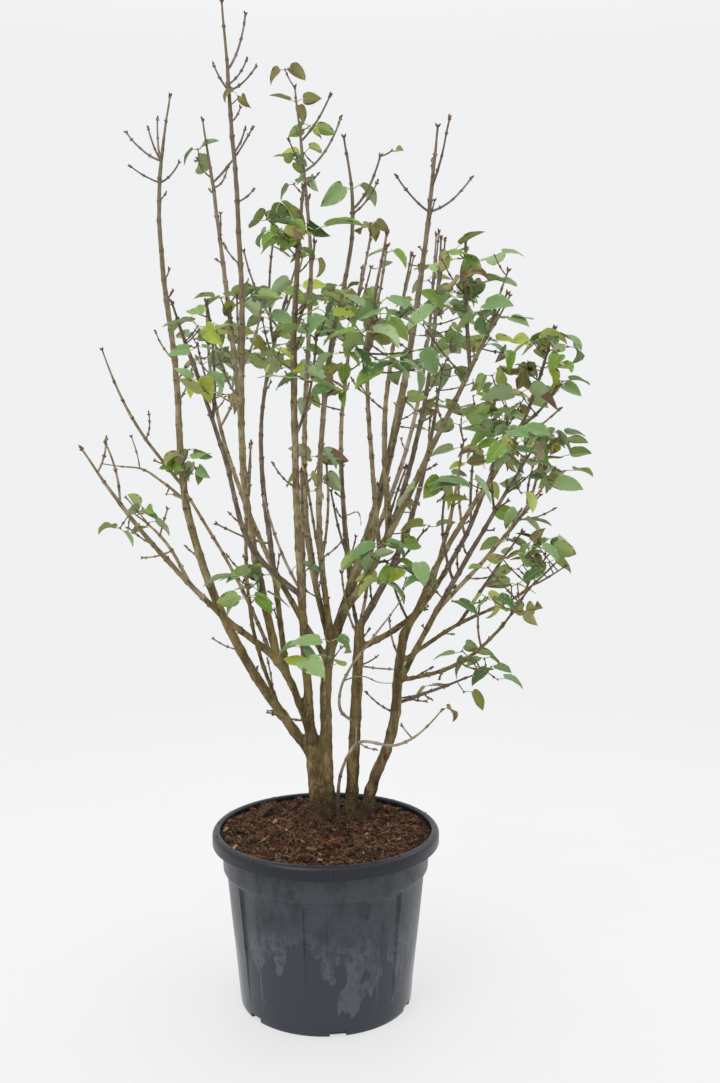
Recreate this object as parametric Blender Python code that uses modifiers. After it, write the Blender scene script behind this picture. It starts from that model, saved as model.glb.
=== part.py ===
"""A lilac bush in its nursery pot: five stems, their boughs and the masses of leaves they carry.

Everything is in metres, with +Z up. The origin is the middle of the pot's flat underside. Each limb
grows from the soil or from an earlier limb. Each mass of leaves is an uneven lump round the limbs
that run through it.
"""
import math
from typing import NamedTuple

import bmesh
import bpy
import numpy as np
from mathutils import Matrix, Vector, noise

OBJECT_NAME = "lilac_bush_in_pot"
GAP = 0.0003
LIMB_CLEARANCE = 1.1 * GAP
MASS_CLEARANCE = 1.2 * GAP
NEAR = 0.002
WELD = 0.00005
SHARP_ANGLE = 40.0

POT_HEIGHT = 0.380
RIM_RADIUS = 0.245
RIM_DEPTH = 0.030
RIM_LIP = 0.017
RIM_UNDERCUT = 0.012
RIM_ROUND = 0.007
EDGE_ROUND = 0.003
COLLAR_RADIUS = 0.223
COLLAR_FOOT = 0.295
COLLAR_DRAFT = 0.002
COLLAR_STEP = 0.004
COLLAR_STEP_INSIDE = 0.010
BODY_RADIUS = 0.214
BASE_RADIUS = 0.186
WALL = 0.007
FLOOR = 0.006
POT_SIDES = 32
CHANNELS = 8
CHANNEL_FIRST = -49.0
CHANNEL_WIDTH = 0.052
CHANNEL_DEPTH = 0.0045
CHANNEL_FOOT = 0.025
CHANNEL_HEAD = COLLAR_FOOT - 0.008
CHANNEL_CUTTER_DEPTH = 0.030
DRAINS = 6
DRAIN_FIRST = 9.0
DRAIN_WIDTH = 0.034
DRAIN_HEIGHT = 0.011
DRAIN_REACH = 0.040
DRAIN_SIDES = 16

SOIL_TOP = 0.365
SOIL_EDGE = 0.357
SOIL_CROWN_RADIUS = 0.110
SOIL_RIM_GAP = 0.001
SOIL_RIM_DROP = 0.010

FLARE = 0.30
FLARE_HEIGHT = 0.035
FLARE_RINGS = (0.0, 0.03, 0.08)
RING_SPACING = 0.14
LEAST_RINGS = 4
PATH_POINTS = 60
BURIED = 0.03

MASS_ROUGHNESS = 0.26
LUMP_SIZE = 1.6
FINE_LUMP_SIZE = 3.4
FINE_LUMP_SHARE = 0.5
LUMP_SEED = 7.0
LARGE_MASS = 0.09
LARGE_GRID = (11, 7)
SMALL_GRID = (9, 6)

POT_FINISH = ((0.055, 0.062, 0.075), 0.45)
SOIL_FINISH = ((0.045, 0.025, 0.014), 0.95)
BARK_FINISH = ((0.14, 0.11, 0.055), 0.85)
LEAF_FINISH = ((0.10, 0.19, 0.07), 0.55)


class Limb(NamedTuple):
    """A tapering limb. Its foot is a place on the soil, or a height on the limb it grows from."""

    name: str
    grows_from: str | None
    foot: tuple | float
    bends: list
    tip: tuple
    radius: float
    tip_radius: float


LIMBS = [
    Limb("left_stem", None, (-0.017, 0.062),
         [(-0.025, 0.06, 0.46)],
         (-0.038, 0.05, 0.62), 0.0155, 0.013),
    Limb("middle_stem", None, (0.007, 0.060),
         [(0.00, 0.06, 0.56), (0.005, 0.06, 0.74), (0.04, 0.07, 0.85), (0.11, 0.08, 1.07), (0.21, 0.09, 1.60)],
         (0.24, 0.10, 1.88), 0.0145, 0.0035),
    Limb("inner_right_stem", None, (0.052, 0.060),
         [(0.07, 0.05, 0.74)],
         (0.075, 0.05, 0.86), 0.0145, 0.010),
    Limb("outer_right_stem", None, (0.074, 0.060),
         [(0.10, 0.055, 0.45), (0.145, 0.045, 0.58), (0.16, 0.04, 0.73)],
         (0.175, 0.03, 0.83), 0.0125, 0.0095),
    Limb("low_right_shoot", None, (0.032, 0.040),
         [(0.04, -0.01, 0.52), (0.07, -0.04, 0.575), (0.15, -0.08, 0.58)],
         (0.24, -0.14, 0.67), 0.004, 0.0025),
    Limb("far_left_bough", "left_stem", 0.52,
         [(-0.20, 0.08, 0.77), (-0.30, 0.10, 1.03), (-0.33, 0.12, 1.36), (-0.365, 0.15, 1.76)],
         (-0.34, 0.16, 1.96), 0.0115, 0.003),
    Limb("far_left_shoot", "far_left_bough", 1.11,
         [(-0.42, 0.03, 1.28)],
         (-0.46, -0.02, 1.40), 0.004, 0.0025),
    Limb("inner_left_twig", "far_left_bough", 0.61,
         [(-0.15, -0.01, 0.80)],
         (-0.14, -0.16, 1.21), 0.005, 0.003),
    Limb("left_bough", "left_stem", 0.55,
         [(-0.10, -0.01, 0.74), (-0.22, -0.07, 0.86), (-0.37, -0.16, 1.05)],
         (-0.46, -0.22, 1.20), 0.009, 0.003),
    Limb("low_left_spray", "left_bough", 0.92,
         [(-0.35, 0.01, 1.01)],
         (-0.43, 0.09, 1.06), 0.004, 0.0025),
    Limb("tall_bough", "left_bough", 0.74,
         [(-0.17, 0.00, 1.12), (-0.17, -0.02, 1.52)],
         (-0.20, -0.06, 2.08), 0.009, 0.003),
    Limb("back_left_bough", "tall_bough", 1.25,
         [(-0.25, 0.18, 1.76)],
         (-0.28, 0.24, 1.93), 0.006, 0.003),
    Limb("dark_back_bough", "left_bough", 0.71,
         [(-0.11, 0.09, 0.88), (-0.15, 0.21, 1.26)],
         (-0.07, 0.33, 1.64), 0.007, 0.003),
    Limb("front_centre_bough", "left_stem", 0.57,
         [(-0.05, -0.05, 0.93), (-0.05, -0.20, 1.46)],
         (-0.03, -0.27, 1.68), 0.010, 0.004),
    Limb("top_centre_bough", "middle_stem", 0.76,
         [(-0.03, 0.09, 0.93), (-0.04, 0.17, 1.70)],
         (-0.07, 0.20, 1.99), 0.007, 0.003),
    Limb("front_left_bough", "front_centre_bough", 0.89,
         [(-0.14, -0.11, 0.99), (-0.19, -0.20, 1.19)],
         (-0.26, -0.36, 1.46), 0.006, 0.003),
    Limb("rear_left_bough", "middle_stem", 0.73,
         [(-0.13, 0.17, 0.94), (-0.29, 0.38, 1.40)],
         (-0.30, 0.42, 1.55), 0.007, 0.003),
    Limb("right_bough", "middle_stem", 0.84,
         [(0.07, 0.01, 0.89), (0.13, -0.03, 1.01), (0.25, -0.15, 1.27)],
         (0.35, -0.24, 1.49), 0.009, 0.003),
    Limb("right_bough_fork", "right_bough", 1.35,
         [(0.28, -0.17, 1.48)],
         (0.28, -0.13, 1.61), 0.004, 0.003),
    Limb("mid_right_bough", "right_bough", 1.02,
         [(0.13, 0.12, 1.28)],
         (0.20, 0.32, 1.64), 0.007, 0.003),
    Limb("dark_right_bough", "right_bough", 1.03,
         [(0.20, 0.02, 1.24)],
         (0.25, 0.12, 1.65), 0.006, 0.003),
    Limb("pale_right_bough", "middle_stem", 0.88,
         [(0.18, 0.22, 1.19)],
         (0.26, 0.44, 1.71), 0.006, 0.003),
    Limb("front_middle_bough", "middle_stem", 0.77,
         [(-0.01, -0.07, 1.08), (0.01, -0.15, 1.35), (0.06, -0.26, 1.65)],
         (0.045, -0.30, 1.76), 0.007, 0.003),
    Limb("back_middle_bough", "middle_stem", 0.90,
         [(0.03, 0.22, 1.18)],
         (0.10, 0.45, 1.70), 0.006, 0.003),
    Limb("front_inner_bough", "right_bough", 0.98,
         [(0.10, -0.12, 1.15), (0.09, -0.30, 1.40)],
         (0.12, -0.42, 1.57), 0.005, 0.003),
    Limb("inner_right_bough", "inner_right_stem", 0.81,
         [(0.15, 0.13, 0.94)],
         (0.27, 0.35, 1.38), 0.008, 0.003),
    Limb("upper_right_bough", "inner_right_stem", 0.76,
         [(0.20, 0.08, 0.84), (0.26, 0.10, 0.99)],
         (0.30, 0.13, 1.20), 0.007, 0.003),
    Limb("long_right_bough", "outer_right_stem", 0.78,
         [(0.25, 0.01, 0.97), (0.41, -0.04, 1.25)],
         (0.47, -0.06, 1.44), 0.007, 0.003),
    Limb("front_right_bough", "outer_right_stem", 0.68,
         [(0.24, -0.09, 0.88)],
         (0.39, -0.32, 1.20), 0.007, 0.003),
    Limb("rear_right_bough", "outer_right_stem", 0.80,
         [(0.30, 0.18, 0.97)],
         (0.44, 0.40, 1.27), 0.007, 0.003),
    Limb("right_fan_bough", "front_right_bough", 0.87,
         [(0.36, 0.03, 0.98), (0.44, 0.09, 1.07)],
         (0.48, 0.15, 1.20), 0.005, 0.003),
    Limb("low_right_bough", "outer_right_stem", 0.73,
         [(0.29, 0.07, 0.81), (0.44, 0.10, 0.88)],
         (0.52, 0.12, 0.95), 0.005, 0.003),
    Limb("mid_low_right_bough", "low_right_bough", 0.81,
         [(0.32, -0.01, 0.88)],
         (0.40, -0.12, 1.03), 0.004, 0.003),
    Limb("right_skirt_bough", "outer_right_stem", 0.69,
         [(0.28, -0.10, 0.76)],
         (0.39, -0.30, 0.94), 0.005, 0.003),
    Limb("lowest_right_shoot", "outer_right_stem", 0.64,
         [(0.28, 0.15, 0.66)],
         (0.38, 0.22, 0.68), 0.004, 0.0025),
]


class Mass(NamedTuple):
    """A mass of leaves: its middle, and how far it reaches from there across, in depth and in height."""

    name: str
    centre: tuple
    reach: tuple


MASSES = [
    Mass("top_centre_leaves", (-0.06, 0.19, 1.88), (0.07, 0.07, 0.15)),
    Mass("top_left_leaves", (-0.28, 0.23, 1.85), (0.05, 0.05, 0.05)),
    Mass("high_centre_leaves", (-0.04, -0.25, 1.60), (0.09, 0.08, 0.08)),
    Mass("upper_left_leaves", (-0.19, 0.04, 1.50), (0.08, 0.09, 0.09)),
    Mass("left_leaves", (-0.24, -0.31, 1.38), (0.08, 0.09, 0.12)),
    Mass("rear_left_leaves", (-0.29, 0.38, 1.42), (0.08, 0.09, 0.11)),
    Mass("outer_left_leaves", (-0.33, 0.12, 1.14), (0.06, 0.07, 0.08)),
    Mass("low_left_leaves", (-0.42, 0.08, 1.05), (0.07, 0.07, 0.05)),
    Mass("centre_front_leaves", (-0.04, -0.20, 1.39), (0.11, 0.09, 0.10)),
    Mass("centre_back_leaves", (-0.10, 0.26, 1.40), (0.11, 0.10, 0.12)),
    Mass("back_leaves", (0.04, 0.38, 1.53), (0.08, 0.09, 0.11)),
    Mass("inner_front_leaves", (0.10, -0.34, 1.42), (0.09, 0.10, 0.10)),
    Mass("right_top_leaves", (0.29, -0.16, 1.47), (0.11, 0.10, 0.11)),
    Mass("rear_top_right_leaves", (0.25, 0.34, 1.50), (0.10, 0.11, 0.13)),
    Mass("far_right_leaves", (0.47, -0.05, 1.40), (0.08, 0.08, 0.12)),
    Mass("rear_right_leaves", (0.40, 0.33, 1.22), (0.11, 0.10, 0.12)),
    Mass("outer_right_leaves", (0.48, 0.14, 1.18), (0.09, 0.09, 0.11)),
    Mass("front_right_leaves", (0.36, -0.27, 1.17), (0.09, 0.09, 0.11)),
    Mass("low_right_leaves", (0.47, 0.08, 0.94), (0.10, 0.10, 0.08)),
    Mass("front_skirt_leaves", (0.36, -0.24, 0.90), (0.08, 0.08, 0.07)),
    Mass("inner_low_leaves", (-0.17, -0.04, 0.90), (0.06, 0.06, 0.06)),
    Mass("middle_low_leaves", (0.13, -0.05, 0.95), (0.08, 0.07, 0.06)),
    Mass("lowest_right_leaves", (0.34, 0.18, 0.68), (0.08, 0.08, 0.06)),
]


def clear_scene():
    """Start from an empty scene."""
    for thing in list(bpy.data.objects):
        bpy.data.objects.remove(thing, do_unlink=True)


def new_collection(name):
    collection = bpy.data.collections.new(name)
    bpy.context.scene.collection.children.link(collection)
    return collection


def give_finish(thing, colour, roughness):
    """Each object has a Principled material of its own."""
    material = bpy.data.materials.new(thing.name + "_finish")
    material.use_nodes = True
    shader = material.node_tree.nodes["Principled BSDF"]
    shader.inputs["Base Color"].default_value = (*colour, 1.0)
    shader.inputs["Roughness"].default_value = roughness
    shader.inputs["Metallic"].default_value = 0.0
    thing.data.materials.clear()
    thing.data.materials.append(material)


def place_mesh(name, bm, collection):
    """Turn a bmesh into an object of a collection."""
    mesh = bpy.data.meshes.new(name)
    bm.to_mesh(mesh)
    bm.free()
    thing = bpy.data.objects.new(name, mesh)
    collection.objects.link(thing)
    return thing


def as_cutter(thing):
    thing.hide_render = True
    thing.display_type = "WIRE"
    return thing


def cut(thing, cutter):
    """Take one shape away from another."""
    modifier = thing.modifiers.new("cut_by_" + cutter.name, "BOOLEAN")
    modifier.operation = "DIFFERENCE"
    modifier.solver = "EXACT"
    modifier.object = cutter


def loose_bodies(bm):
    """The faces of a mesh, sorted into the bodies that hang together."""
    left = set(bm.faces)
    bodies = []
    while left:
        body = []
        queue = [left.pop()]
        while queue:
            face = queue.pop()
            body.append(face)
            for edge in face.edges:
                for neighbour in edge.link_faces:
                    if neighbour in left:
                        left.remove(neighbour)
                        queue.append(neighbour)
        bodies.append(body)
    return sorted(bodies, key=lambda body: sum(face.calc_area() for face in body))


def settle(thing):
    """Apply the cuts, and drop the crumbs that they leave beside the main body."""
    bpy.context.view_layer.update()
    graph = bpy.context.evaluated_depsgraph_get()
    bm = bmesh.new()
    bm.from_object(thing, graph)
    bmesh.ops.remove_doubles(bm, verts=bm.verts, dist=WELD)
    crumbs = loose_bodies(bm)[:-1]
    bmesh.ops.delete(bm, geom=[face for crumb in crumbs for face in crumb], context="FACES")
    thing.modifiers.clear()
    bm.to_mesh(thing.data)
    bm.free()


def turned(name, profile, collection):
    """A turned shape. The profile is in radius and height, and runs down the outer side."""
    bm = bmesh.new()
    points = [bm.verts.new((radius, 0.0, height)) for radius, height in profile]
    for upper, lower in zip(points, points[1:]):
        bm.edges.new((upper, lower))
    thing = place_mesh(name, bm, collection)
    screw = thing.modifiers.new("turn", "SCREW")
    screw.steps = POT_SIDES
    screw.render_steps = POT_SIDES
    screw.use_merge_vertices = True
    screw.merge_threshold = 0.0001
    return thing


def body_radius(height):
    """The pot's outer radius below its collar."""
    return BASE_RADIUS + (BODY_RADIUS - BASE_RADIUS) * height / COLLAR_FOOT


def round_the_pot(degrees, radius, height):
    """Place and turn something at a bearing round the pot, counted from the front towards +X."""
    turn = Matrix.Rotation(math.radians(degrees), 4, "Z")
    return turn @ Matrix.Translation((0.0, -radius, height))


def channel_cutter(number, cutters):
    """A block that leaves one shallow upright channel, deepest under the collar and gone near the foot."""
    head_face = body_radius(CHANNEL_HEAD) - CHANNEL_DEPTH
    foot_face = body_radius(CHANNEL_FOOT)
    rise = CHANNEL_HEAD - CHANNEL_FOOT
    bearing = CHANNEL_FIRST + number * 360 / CHANNELS
    middle = round_the_pot(bearing, (head_face + foot_face) / 2, (CHANNEL_HEAD + CHANNEL_FOOT) / 2)
    lean = Matrix.Rotation(math.atan2(head_face - foot_face, rise), 4, "X")
    outward = Matrix.Translation((0.0, -CHANNEL_CUTTER_DEPTH / 2, 0.0))
    size = Matrix.Diagonal((CHANNEL_WIDTH, CHANNEL_CUTTER_DEPTH, rise, 1.0))
    bm = bmesh.new()
    bmesh.ops.create_cube(bm, size=1.0)
    bmesh.ops.transform(bm, matrix=middle @ lean @ outward @ size, verts=bm.verts)
    return as_cutter(place_mesh(f"channel_{number + 1}", bm, cutters))


def drain_cutter(number, cutters):
    """A rod that leaves one arched drain in the pot's bottom edge."""
    place = round_the_pot(DRAIN_FIRST + number * 360 / DRAINS, BASE_RADIUS, 0.0)
    size = Matrix.Diagonal((DRAIN_WIDTH, 2 * DRAIN_REACH, 2 * DRAIN_HEIGHT, 1.0))
    lay_down = Matrix.Rotation(math.radians(90), 4, "X")
    bm = bmesh.new()
    bmesh.ops.create_cone(bm, cap_ends=True, segments=DRAIN_SIDES, radius1=0.5, radius2=0.5, depth=1.0)
    bmesh.ops.transform(bm, matrix=place @ size @ lay_down, verts=bm.verts)
    return as_cutter(place_mesh(f"drain_{number + 1}", bm, cutters))


def build_pot(parts, cutters):
    """The pot: a tapered shell with a rolled rim, a collar, shallow upright channels and edge drains."""
    inner_rim = RIM_RADIUS - RIM_LIP
    profile = [
        (0.0, FLOOR),
        (BASE_RADIUS - WALL, FLOOR),
        (BODY_RADIUS - WALL, COLLAR_FOOT),
        (COLLAR_RADIUS - WALL, COLLAR_FOOT + COLLAR_STEP_INSIDE),
        (COLLAR_RADIUS - WALL, POT_HEIGHT - RIM_DEPTH),
        (inner_rim, POT_HEIGHT - RIM_DEPTH + RIM_UNDERCUT),
        (inner_rim, POT_HEIGHT - EDGE_ROUND),
        (inner_rim + EDGE_ROUND, POT_HEIGHT),
        (RIM_RADIUS - RIM_ROUND, POT_HEIGHT),
        (RIM_RADIUS, POT_HEIGHT - RIM_ROUND),
        (RIM_RADIUS, POT_HEIGHT - RIM_DEPTH),
        (COLLAR_RADIUS, POT_HEIGHT - RIM_DEPTH),
        (COLLAR_RADIUS - COLLAR_DRAFT, COLLAR_FOOT),
        (BODY_RADIUS, COLLAR_FOOT - COLLAR_STEP),
        (BASE_RADIUS, EDGE_ROUND),
        (BASE_RADIUS - EDGE_ROUND, 0.0),
        (0.0, 0.0),
    ]
    pot = turned("pot", profile, parts)
    give_finish(pot, *POT_FINISH)
    for number in range(CHANNELS):
        cut(pot, channel_cutter(number, cutters))
    for number in range(DRAINS):
        cut(pot, drain_cutter(number, cutters))
    settle(pot)


def build_soil(parts):
    """The compost that fills the pot, low at the rim and level where the stems stand."""
    profile = [
        (0.0, SOIL_TOP),
        (SOIL_CROWN_RADIUS, SOIL_TOP),
        (COLLAR_RADIUS - WALL - SOIL_RIM_GAP, SOIL_EDGE - SOIL_RIM_DROP),
        (COLLAR_RADIUS - WALL - GAP, COLLAR_FOOT + COLLAR_STEP_INSIDE),
        (BODY_RADIUS - WALL - GAP, COLLAR_FOOT),
        (BASE_RADIUS - WALL - GAP, FLOOR + GAP),
        (0.0, FLOOR + GAP),
    ]
    soil = turned("soil", profile, parts)
    give_finish(soil, *SOIL_FINISH)
    settle(soil)


def smooth_path(points, count):
    """Evenly spaced points on one smooth curve through the given ones, as a Hermite spline by length."""
    points = np.array(points, dtype=float)
    lengths = np.linalg.norm(np.diff(points, axis=0), axis=1)
    at = np.concatenate([[0.0], np.cumsum(lengths)])
    slopes = np.diff(points, axis=0) / lengths[:, None]
    tangents = np.zeros_like(points)
    for i in range(1, len(points) - 1):
        before, after = lengths[i - 1], lengths[i]
        tangents[i] = (slopes[i - 1] * after + slopes[i] * before) / (before + after)
    if len(points) > 2:
        tangents[0] = 1.5 * slopes[0] - 0.5 * tangents[1]
        tangents[-1] = 1.5 * slopes[-1] - 0.5 * tangents[-2]
    else:
        tangents[:] = slopes[0]
    path = []
    for place in np.linspace(0.0, at[-1], count):
        i = min(int(np.searchsorted(at, place, side="right")) - 1, len(points) - 2)
        h = lengths[i]
        t = (place - at[i]) / h
        path.append(
            (2 * t**3 - 3 * t**2 + 1) * points[i]
            + (t**3 - 2 * t**2 + t) * h * tangents[i]
            + (3 * t**2 - 2 * t**3) * points[i + 1]
            + (t**3 - t**2) * h * tangents[i + 1]
        )
    return np.array(path)


def limb_foot(limb, paths):
    """Where a limb starts: in the soil, or on the middle line of the limb it grows from."""
    if limb.grows_from is None:
        return np.array([*limb.foot, SOIL_TOP - BURIED])
    parent = paths[limb.grows_from]
    after = int(np.argmax(parent[:, 2] >= limb.foot))
    low, high = parent[after - 1], parent[after]
    return low + (high - low) * (limb.foot - low[2]) / (high[2] - low[2])


def limb_paths():
    """The middle line of every limb, in fine steps."""
    paths = {}
    for limb in LIMBS:
        through = [limb_foot(limb, paths), *limb.bends, limb.tip]
        paths[limb.name] = smooth_path(through, PATH_POINTS)
    return paths


def limb_radius(limb, along, height):
    """A limb's radius: a steady taper, with a root flare where it leaves the soil."""
    radius = limb.radius + (limb.tip_radius - limb.radius) * along
    if limb.grows_from is None:
        radius *= 1.0 + FLARE * math.exp(-max(height - SOIL_TOP, 0.0) / FLARE_HEIGHT)
    return radius


def tube(name, limb, path, grow, collection):
    """A limb as a closed mesh tube. It is grown by a little all round for use as a cutter."""
    length = float(np.linalg.norm(np.diff(path, axis=0), axis=1).sum())
    rings = LEAST_RINGS + round(length / RING_SPACING)
    shares = [i / (rings - 1) for i in range(rings)]
    if limb.grows_from is None:
        shares = sorted(shares + [(BURIED + step) / length for step in FLARE_RINGS])
    curve = bpy.data.curves.new(name, "CURVE")
    curve.dimensions = "3D"
    curve.bevel_depth = 1.0
    curve.bevel_resolution = 2 if limb.grows_from is None else 1
    curve.use_fill_caps = True
    spline = curve.splines.new("POLY")
    spline.points.add(len(shares) - 1)
    for point, share in zip(spline.points, shares):
        place = path[round(share * (len(path) - 1))]
        point.co = (*place, 1.0)
        point.radius = limb_radius(limb, share, place[2]) + grow
    source = bpy.data.objects.new(name + "_line", curve)
    collection.objects.link(source)
    bpy.context.view_layer.update()
    graph = bpy.context.evaluated_depsgraph_get()
    mesh = bpy.data.meshes.new_from_object(source.evaluated_get(graph))
    thing = bpy.data.objects.new(name, mesh)
    thing.matrix_world = source.matrix_world
    collection.objects.link(thing)
    bpy.data.objects.remove(source)
    bpy.data.curves.remove(curve)
    bm = bmesh.new()
    bm.from_mesh(mesh)
    bmesh.ops.remove_doubles(bm, verts=bm.verts, dist=WELD)
    if limb.grows_from is None:
        flat_cut(bm, SOIL_TOP + GAP - grow)
    bmesh.ops.recalc_face_normals(bm, faces=bm.faces)
    bm.to_mesh(mesh)
    bm.free()
    return thing


def flat_cut(bm, height):
    """Cut a stem off level, and close it."""
    everything = bm.verts[:] + bm.edges[:] + bm.faces[:]
    made = bmesh.ops.bisect_plane(bm, geom=everything, plane_co=(0.0, 0.0, height),
                                  plane_no=(0.0, 0.0, 1.0), clear_inner=True)
    rim = [part for part in made["geom_cut"] if isinstance(part, bmesh.types.BMEdge)]
    bmesh.ops.contextual_create(bm, geom=rim)


def mass_surface(mass, direction):
    """How far a mass reaches in one direction, as a share of its size: lumps and hollows of its own."""
    seed = Vector(mass.centre) * LUMP_SEED
    lumps = noise.noise(direction * LUMP_SIZE + seed)
    lumps += FINE_LUMP_SHARE * noise.noise(direction * FINE_LUMP_SIZE + seed)
    return 1.0 + MASS_ROUGHNESS * lumps


def lump(name, mass, grow, collection):
    """A mass of leaves as one closed, uneven lump."""
    bm = bmesh.new()
    around, down = LARGE_GRID if max(mass.reach) > LARGE_MASS else SMALL_GRID
    bmesh.ops.create_uvsphere(bm, u_segments=around, v_segments=down, radius=1.0)
    for vert in bm.verts:
        direction = vert.co.normalized()
        reach = mass_surface(mass, direction)
        vert.co = Vector(c + r * reach * d for c, r, d in zip(mass.centre, mass.reach, direction))
    bm.normal_update()
    moves = [vert.normal * grow for vert in bm.verts]
    for vert, move in zip(bm.verts, moves):
        vert.co += move
    return place_mesh(name, bm, collection)


def inside(mass, point, margin=0.0):
    """Whether a point is inside a mass, or within a margin of it."""
    offset = Vector(point) - Vector(mass.centre)
    scaled = Vector(o / (r + margin) for o, r in zip(offset, mass.reach))
    return scaled.length < mass_surface(mass, scaled.normalized())


def closest(first, second):
    """The least distance between the middle lines of two limbs."""
    return float(np.linalg.norm(first[:, None, :] - second[None, :, :], axis=2).min())


def build_limbs(parts, cutters):
    """Every limb, trimmed where it meets the limbs that came before it."""
    paths = limb_paths()
    limbs, grown = {}, {}
    for number, limb in enumerate(LIMBS):
        path = paths[limb.name]
        piece = tube(limb.name, limb, path, 0.0, parts)
        give_finish(piece, *BARK_FINISH)
        limbs[limb.name] = piece
        grown[limb.name] = as_cutter(tube("round_" + limb.name, limb, path, LIMB_CLEARANCE, cutters))
        for earlier in LIMBS[:number]:
            reach = (limb.radius + earlier.radius) * (1.0 + FLARE) + NEAR
            if closest(path, paths[earlier.name]) < reach:
                cut(piece, grown[earlier.name])
    return paths, limbs, grown


def build_masses(parts, cutters, paths, limbs, grown):
    """Every mass, cut round the limbs through it. A bough whose tip is in a mass ends where it enters."""
    for mass in MASSES:
        piece = lump(mass.name, mass, 0.0, parts)
        give_finish(piece, *LEAF_FINISH)
        shell = as_cutter(lump("round_" + mass.name, mass, MASS_CLEARANCE, cutters))
        for limb in LIMBS:
            path = paths[limb.name]
            if inside(mass, path[-1]):
                cut(limbs[limb.name], shell)
            elif any(inside(mass, point, limb.radius + NEAR) for point in path):
                cut(piece, grown[limb.name])
        settle(piece)


def main():
    clear_scene()
    parts = new_collection(OBJECT_NAME)
    cutters = new_collection("cutters")
    build_pot(parts, cutters)
    build_soil(parts)
    paths, limbs, grown = build_limbs(parts, cutters)
    build_masses(parts, cutters, paths, limbs, grown)
    for piece in limbs.values():
        settle(piece)
    for thing in parts.objects:
        thing.data.shade_smooth()
        thing.data.set_sharp_from_angle(angle=math.radians(SHARP_ANGLE))


main()
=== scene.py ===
"""The looks of a lilac bush in its nursery pot: bark, buds, twigs, leaves, compost and plastic.

Everything is in metres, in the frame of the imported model: +Z is up, and the origin is the middle of the
pot's flat underside. The limbs follow the middle lines that the solids were built on. Bare shoots and leafy
twigs grow on from them by rule, and each piece made here is one joined mesh of one kind of thing.
"""

import itertools
import math
from typing import NamedTuple

import bmesh
import bpy
import numpy as np
from mathutils import Matrix, Vector


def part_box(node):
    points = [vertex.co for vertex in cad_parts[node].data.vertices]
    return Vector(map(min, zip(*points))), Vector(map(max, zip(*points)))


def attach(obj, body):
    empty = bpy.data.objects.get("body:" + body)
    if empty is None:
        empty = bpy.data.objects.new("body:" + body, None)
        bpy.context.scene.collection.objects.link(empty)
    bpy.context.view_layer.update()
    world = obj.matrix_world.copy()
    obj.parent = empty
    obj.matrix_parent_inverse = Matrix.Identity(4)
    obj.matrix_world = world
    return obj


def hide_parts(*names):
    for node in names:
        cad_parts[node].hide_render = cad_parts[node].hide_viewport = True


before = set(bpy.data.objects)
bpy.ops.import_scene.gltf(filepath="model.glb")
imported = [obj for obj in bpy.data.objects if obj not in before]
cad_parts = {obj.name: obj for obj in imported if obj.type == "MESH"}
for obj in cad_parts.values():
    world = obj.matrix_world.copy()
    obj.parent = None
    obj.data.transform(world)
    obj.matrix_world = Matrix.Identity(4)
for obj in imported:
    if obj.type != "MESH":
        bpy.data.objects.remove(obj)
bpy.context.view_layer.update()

UP = np.array([0.0, 0.0, 1.0])
TURN = 2 * math.pi

# The camera

CAMERA_PLACE = (0.074, -2.4557, 1.2327)
CAMERA_PITCH = math.radians(90 - 5.416)
CAMERA_LENS = 38.67
CAMERA_SENSOR = 36.0

# The pot and the compost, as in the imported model

POT_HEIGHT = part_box("pot")[1].z
RIM_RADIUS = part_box("pot")[1].x
RIM_DEPTH = 0.030
RIM_LIP = 0.017
RIM_UNDERCUT = 0.012
COLLAR_RADIUS = 0.223
COLLAR_FOOT = 0.295
COLLAR_DRAFT = 0.002
COLLAR_STEP = 0.004
COLLAR_SLOPE = 0.010
BODY_RADIUS = 0.214
BASE_RADIUS = 0.186
WALL = 0.007
FLOOR = 0.006
RIM_CORNER = 0.0110
RIM_INNER_CORNER = 0.0050
RIM_FOOT_CORNER = 0.0025
POT_STEP = 0.008
POT_WOBBLE = ((0.09, 0.09, 0.05), 0.0005)
POT_MEAN_RADIUS = 0.2
POT_SIDES = 480
CHANNELS = 8
CHANNEL_FIRST = -49.0
CHANNEL_WIDTH = 0.052
CHANNEL_DEPTH = 0.0045
CHANNEL_SHOULDER = 0.0045
CHANNEL_BEAD = 0.0009
CHANNEL_BEAD_WIDTH = 0.0024
CHANNEL_FADE = 0.6
CHANNEL_FOOT = 0.025
DRAINS = 6
DRAIN_FIRST = 9.0
DRAIN_WIDTH = 0.034
DRAIN_HEIGHT = 0.011
DRAIN_DEPTH = 0.012

SOIL_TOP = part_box("soil")[1].z
SOIL_MIDDLE = SOIL_TOP + 0.009
SOIL_EDGE = SOIL_TOP + 0.005
SOIL_COLLAR_HEIGHT = 0.016
SOIL_COLLAR_WIDTH = 0.032
SOIL_RADIUS = RIM_RADIUS - RIM_LIP - 0.0005
SOIL_RINGS = 84
SOIL_SPOKES = 300
SOIL_LUMPS = 0.0065
SOIL_LUMP_SIZES = [(0.035, 0.9), (0.013, 0.7), (0.006, 0.55)]
SOIL_GAP = 0.0005
SOIL_RING_SPREAD = 0.8
SOIL_CALM_EDGE = 0.9
SOIL_CALMER = 0.6
MOUND_RADIUS = 0.110

# The limbs. A blunt stem ends in a fork, so it doesn't taper to its tip.

BURIED = 0.03
FLARE = 0.42
FLARE_HEIGHT = 0.035
PATH_STEP = 0.004
FORK_SWELLING = 0.35
FORK_SWELLING_REACH = 1.2
TIP_TAPER = 0.36
TIP_REACH = 0.16
COARSE_POINTS = 60
BLUNT_STEMS = ("left_stem", "inner_right_stem", "outer_right_stem")

# The fused foot of the bush. Each relief is the size of its lumps across and up, and its height.

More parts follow.
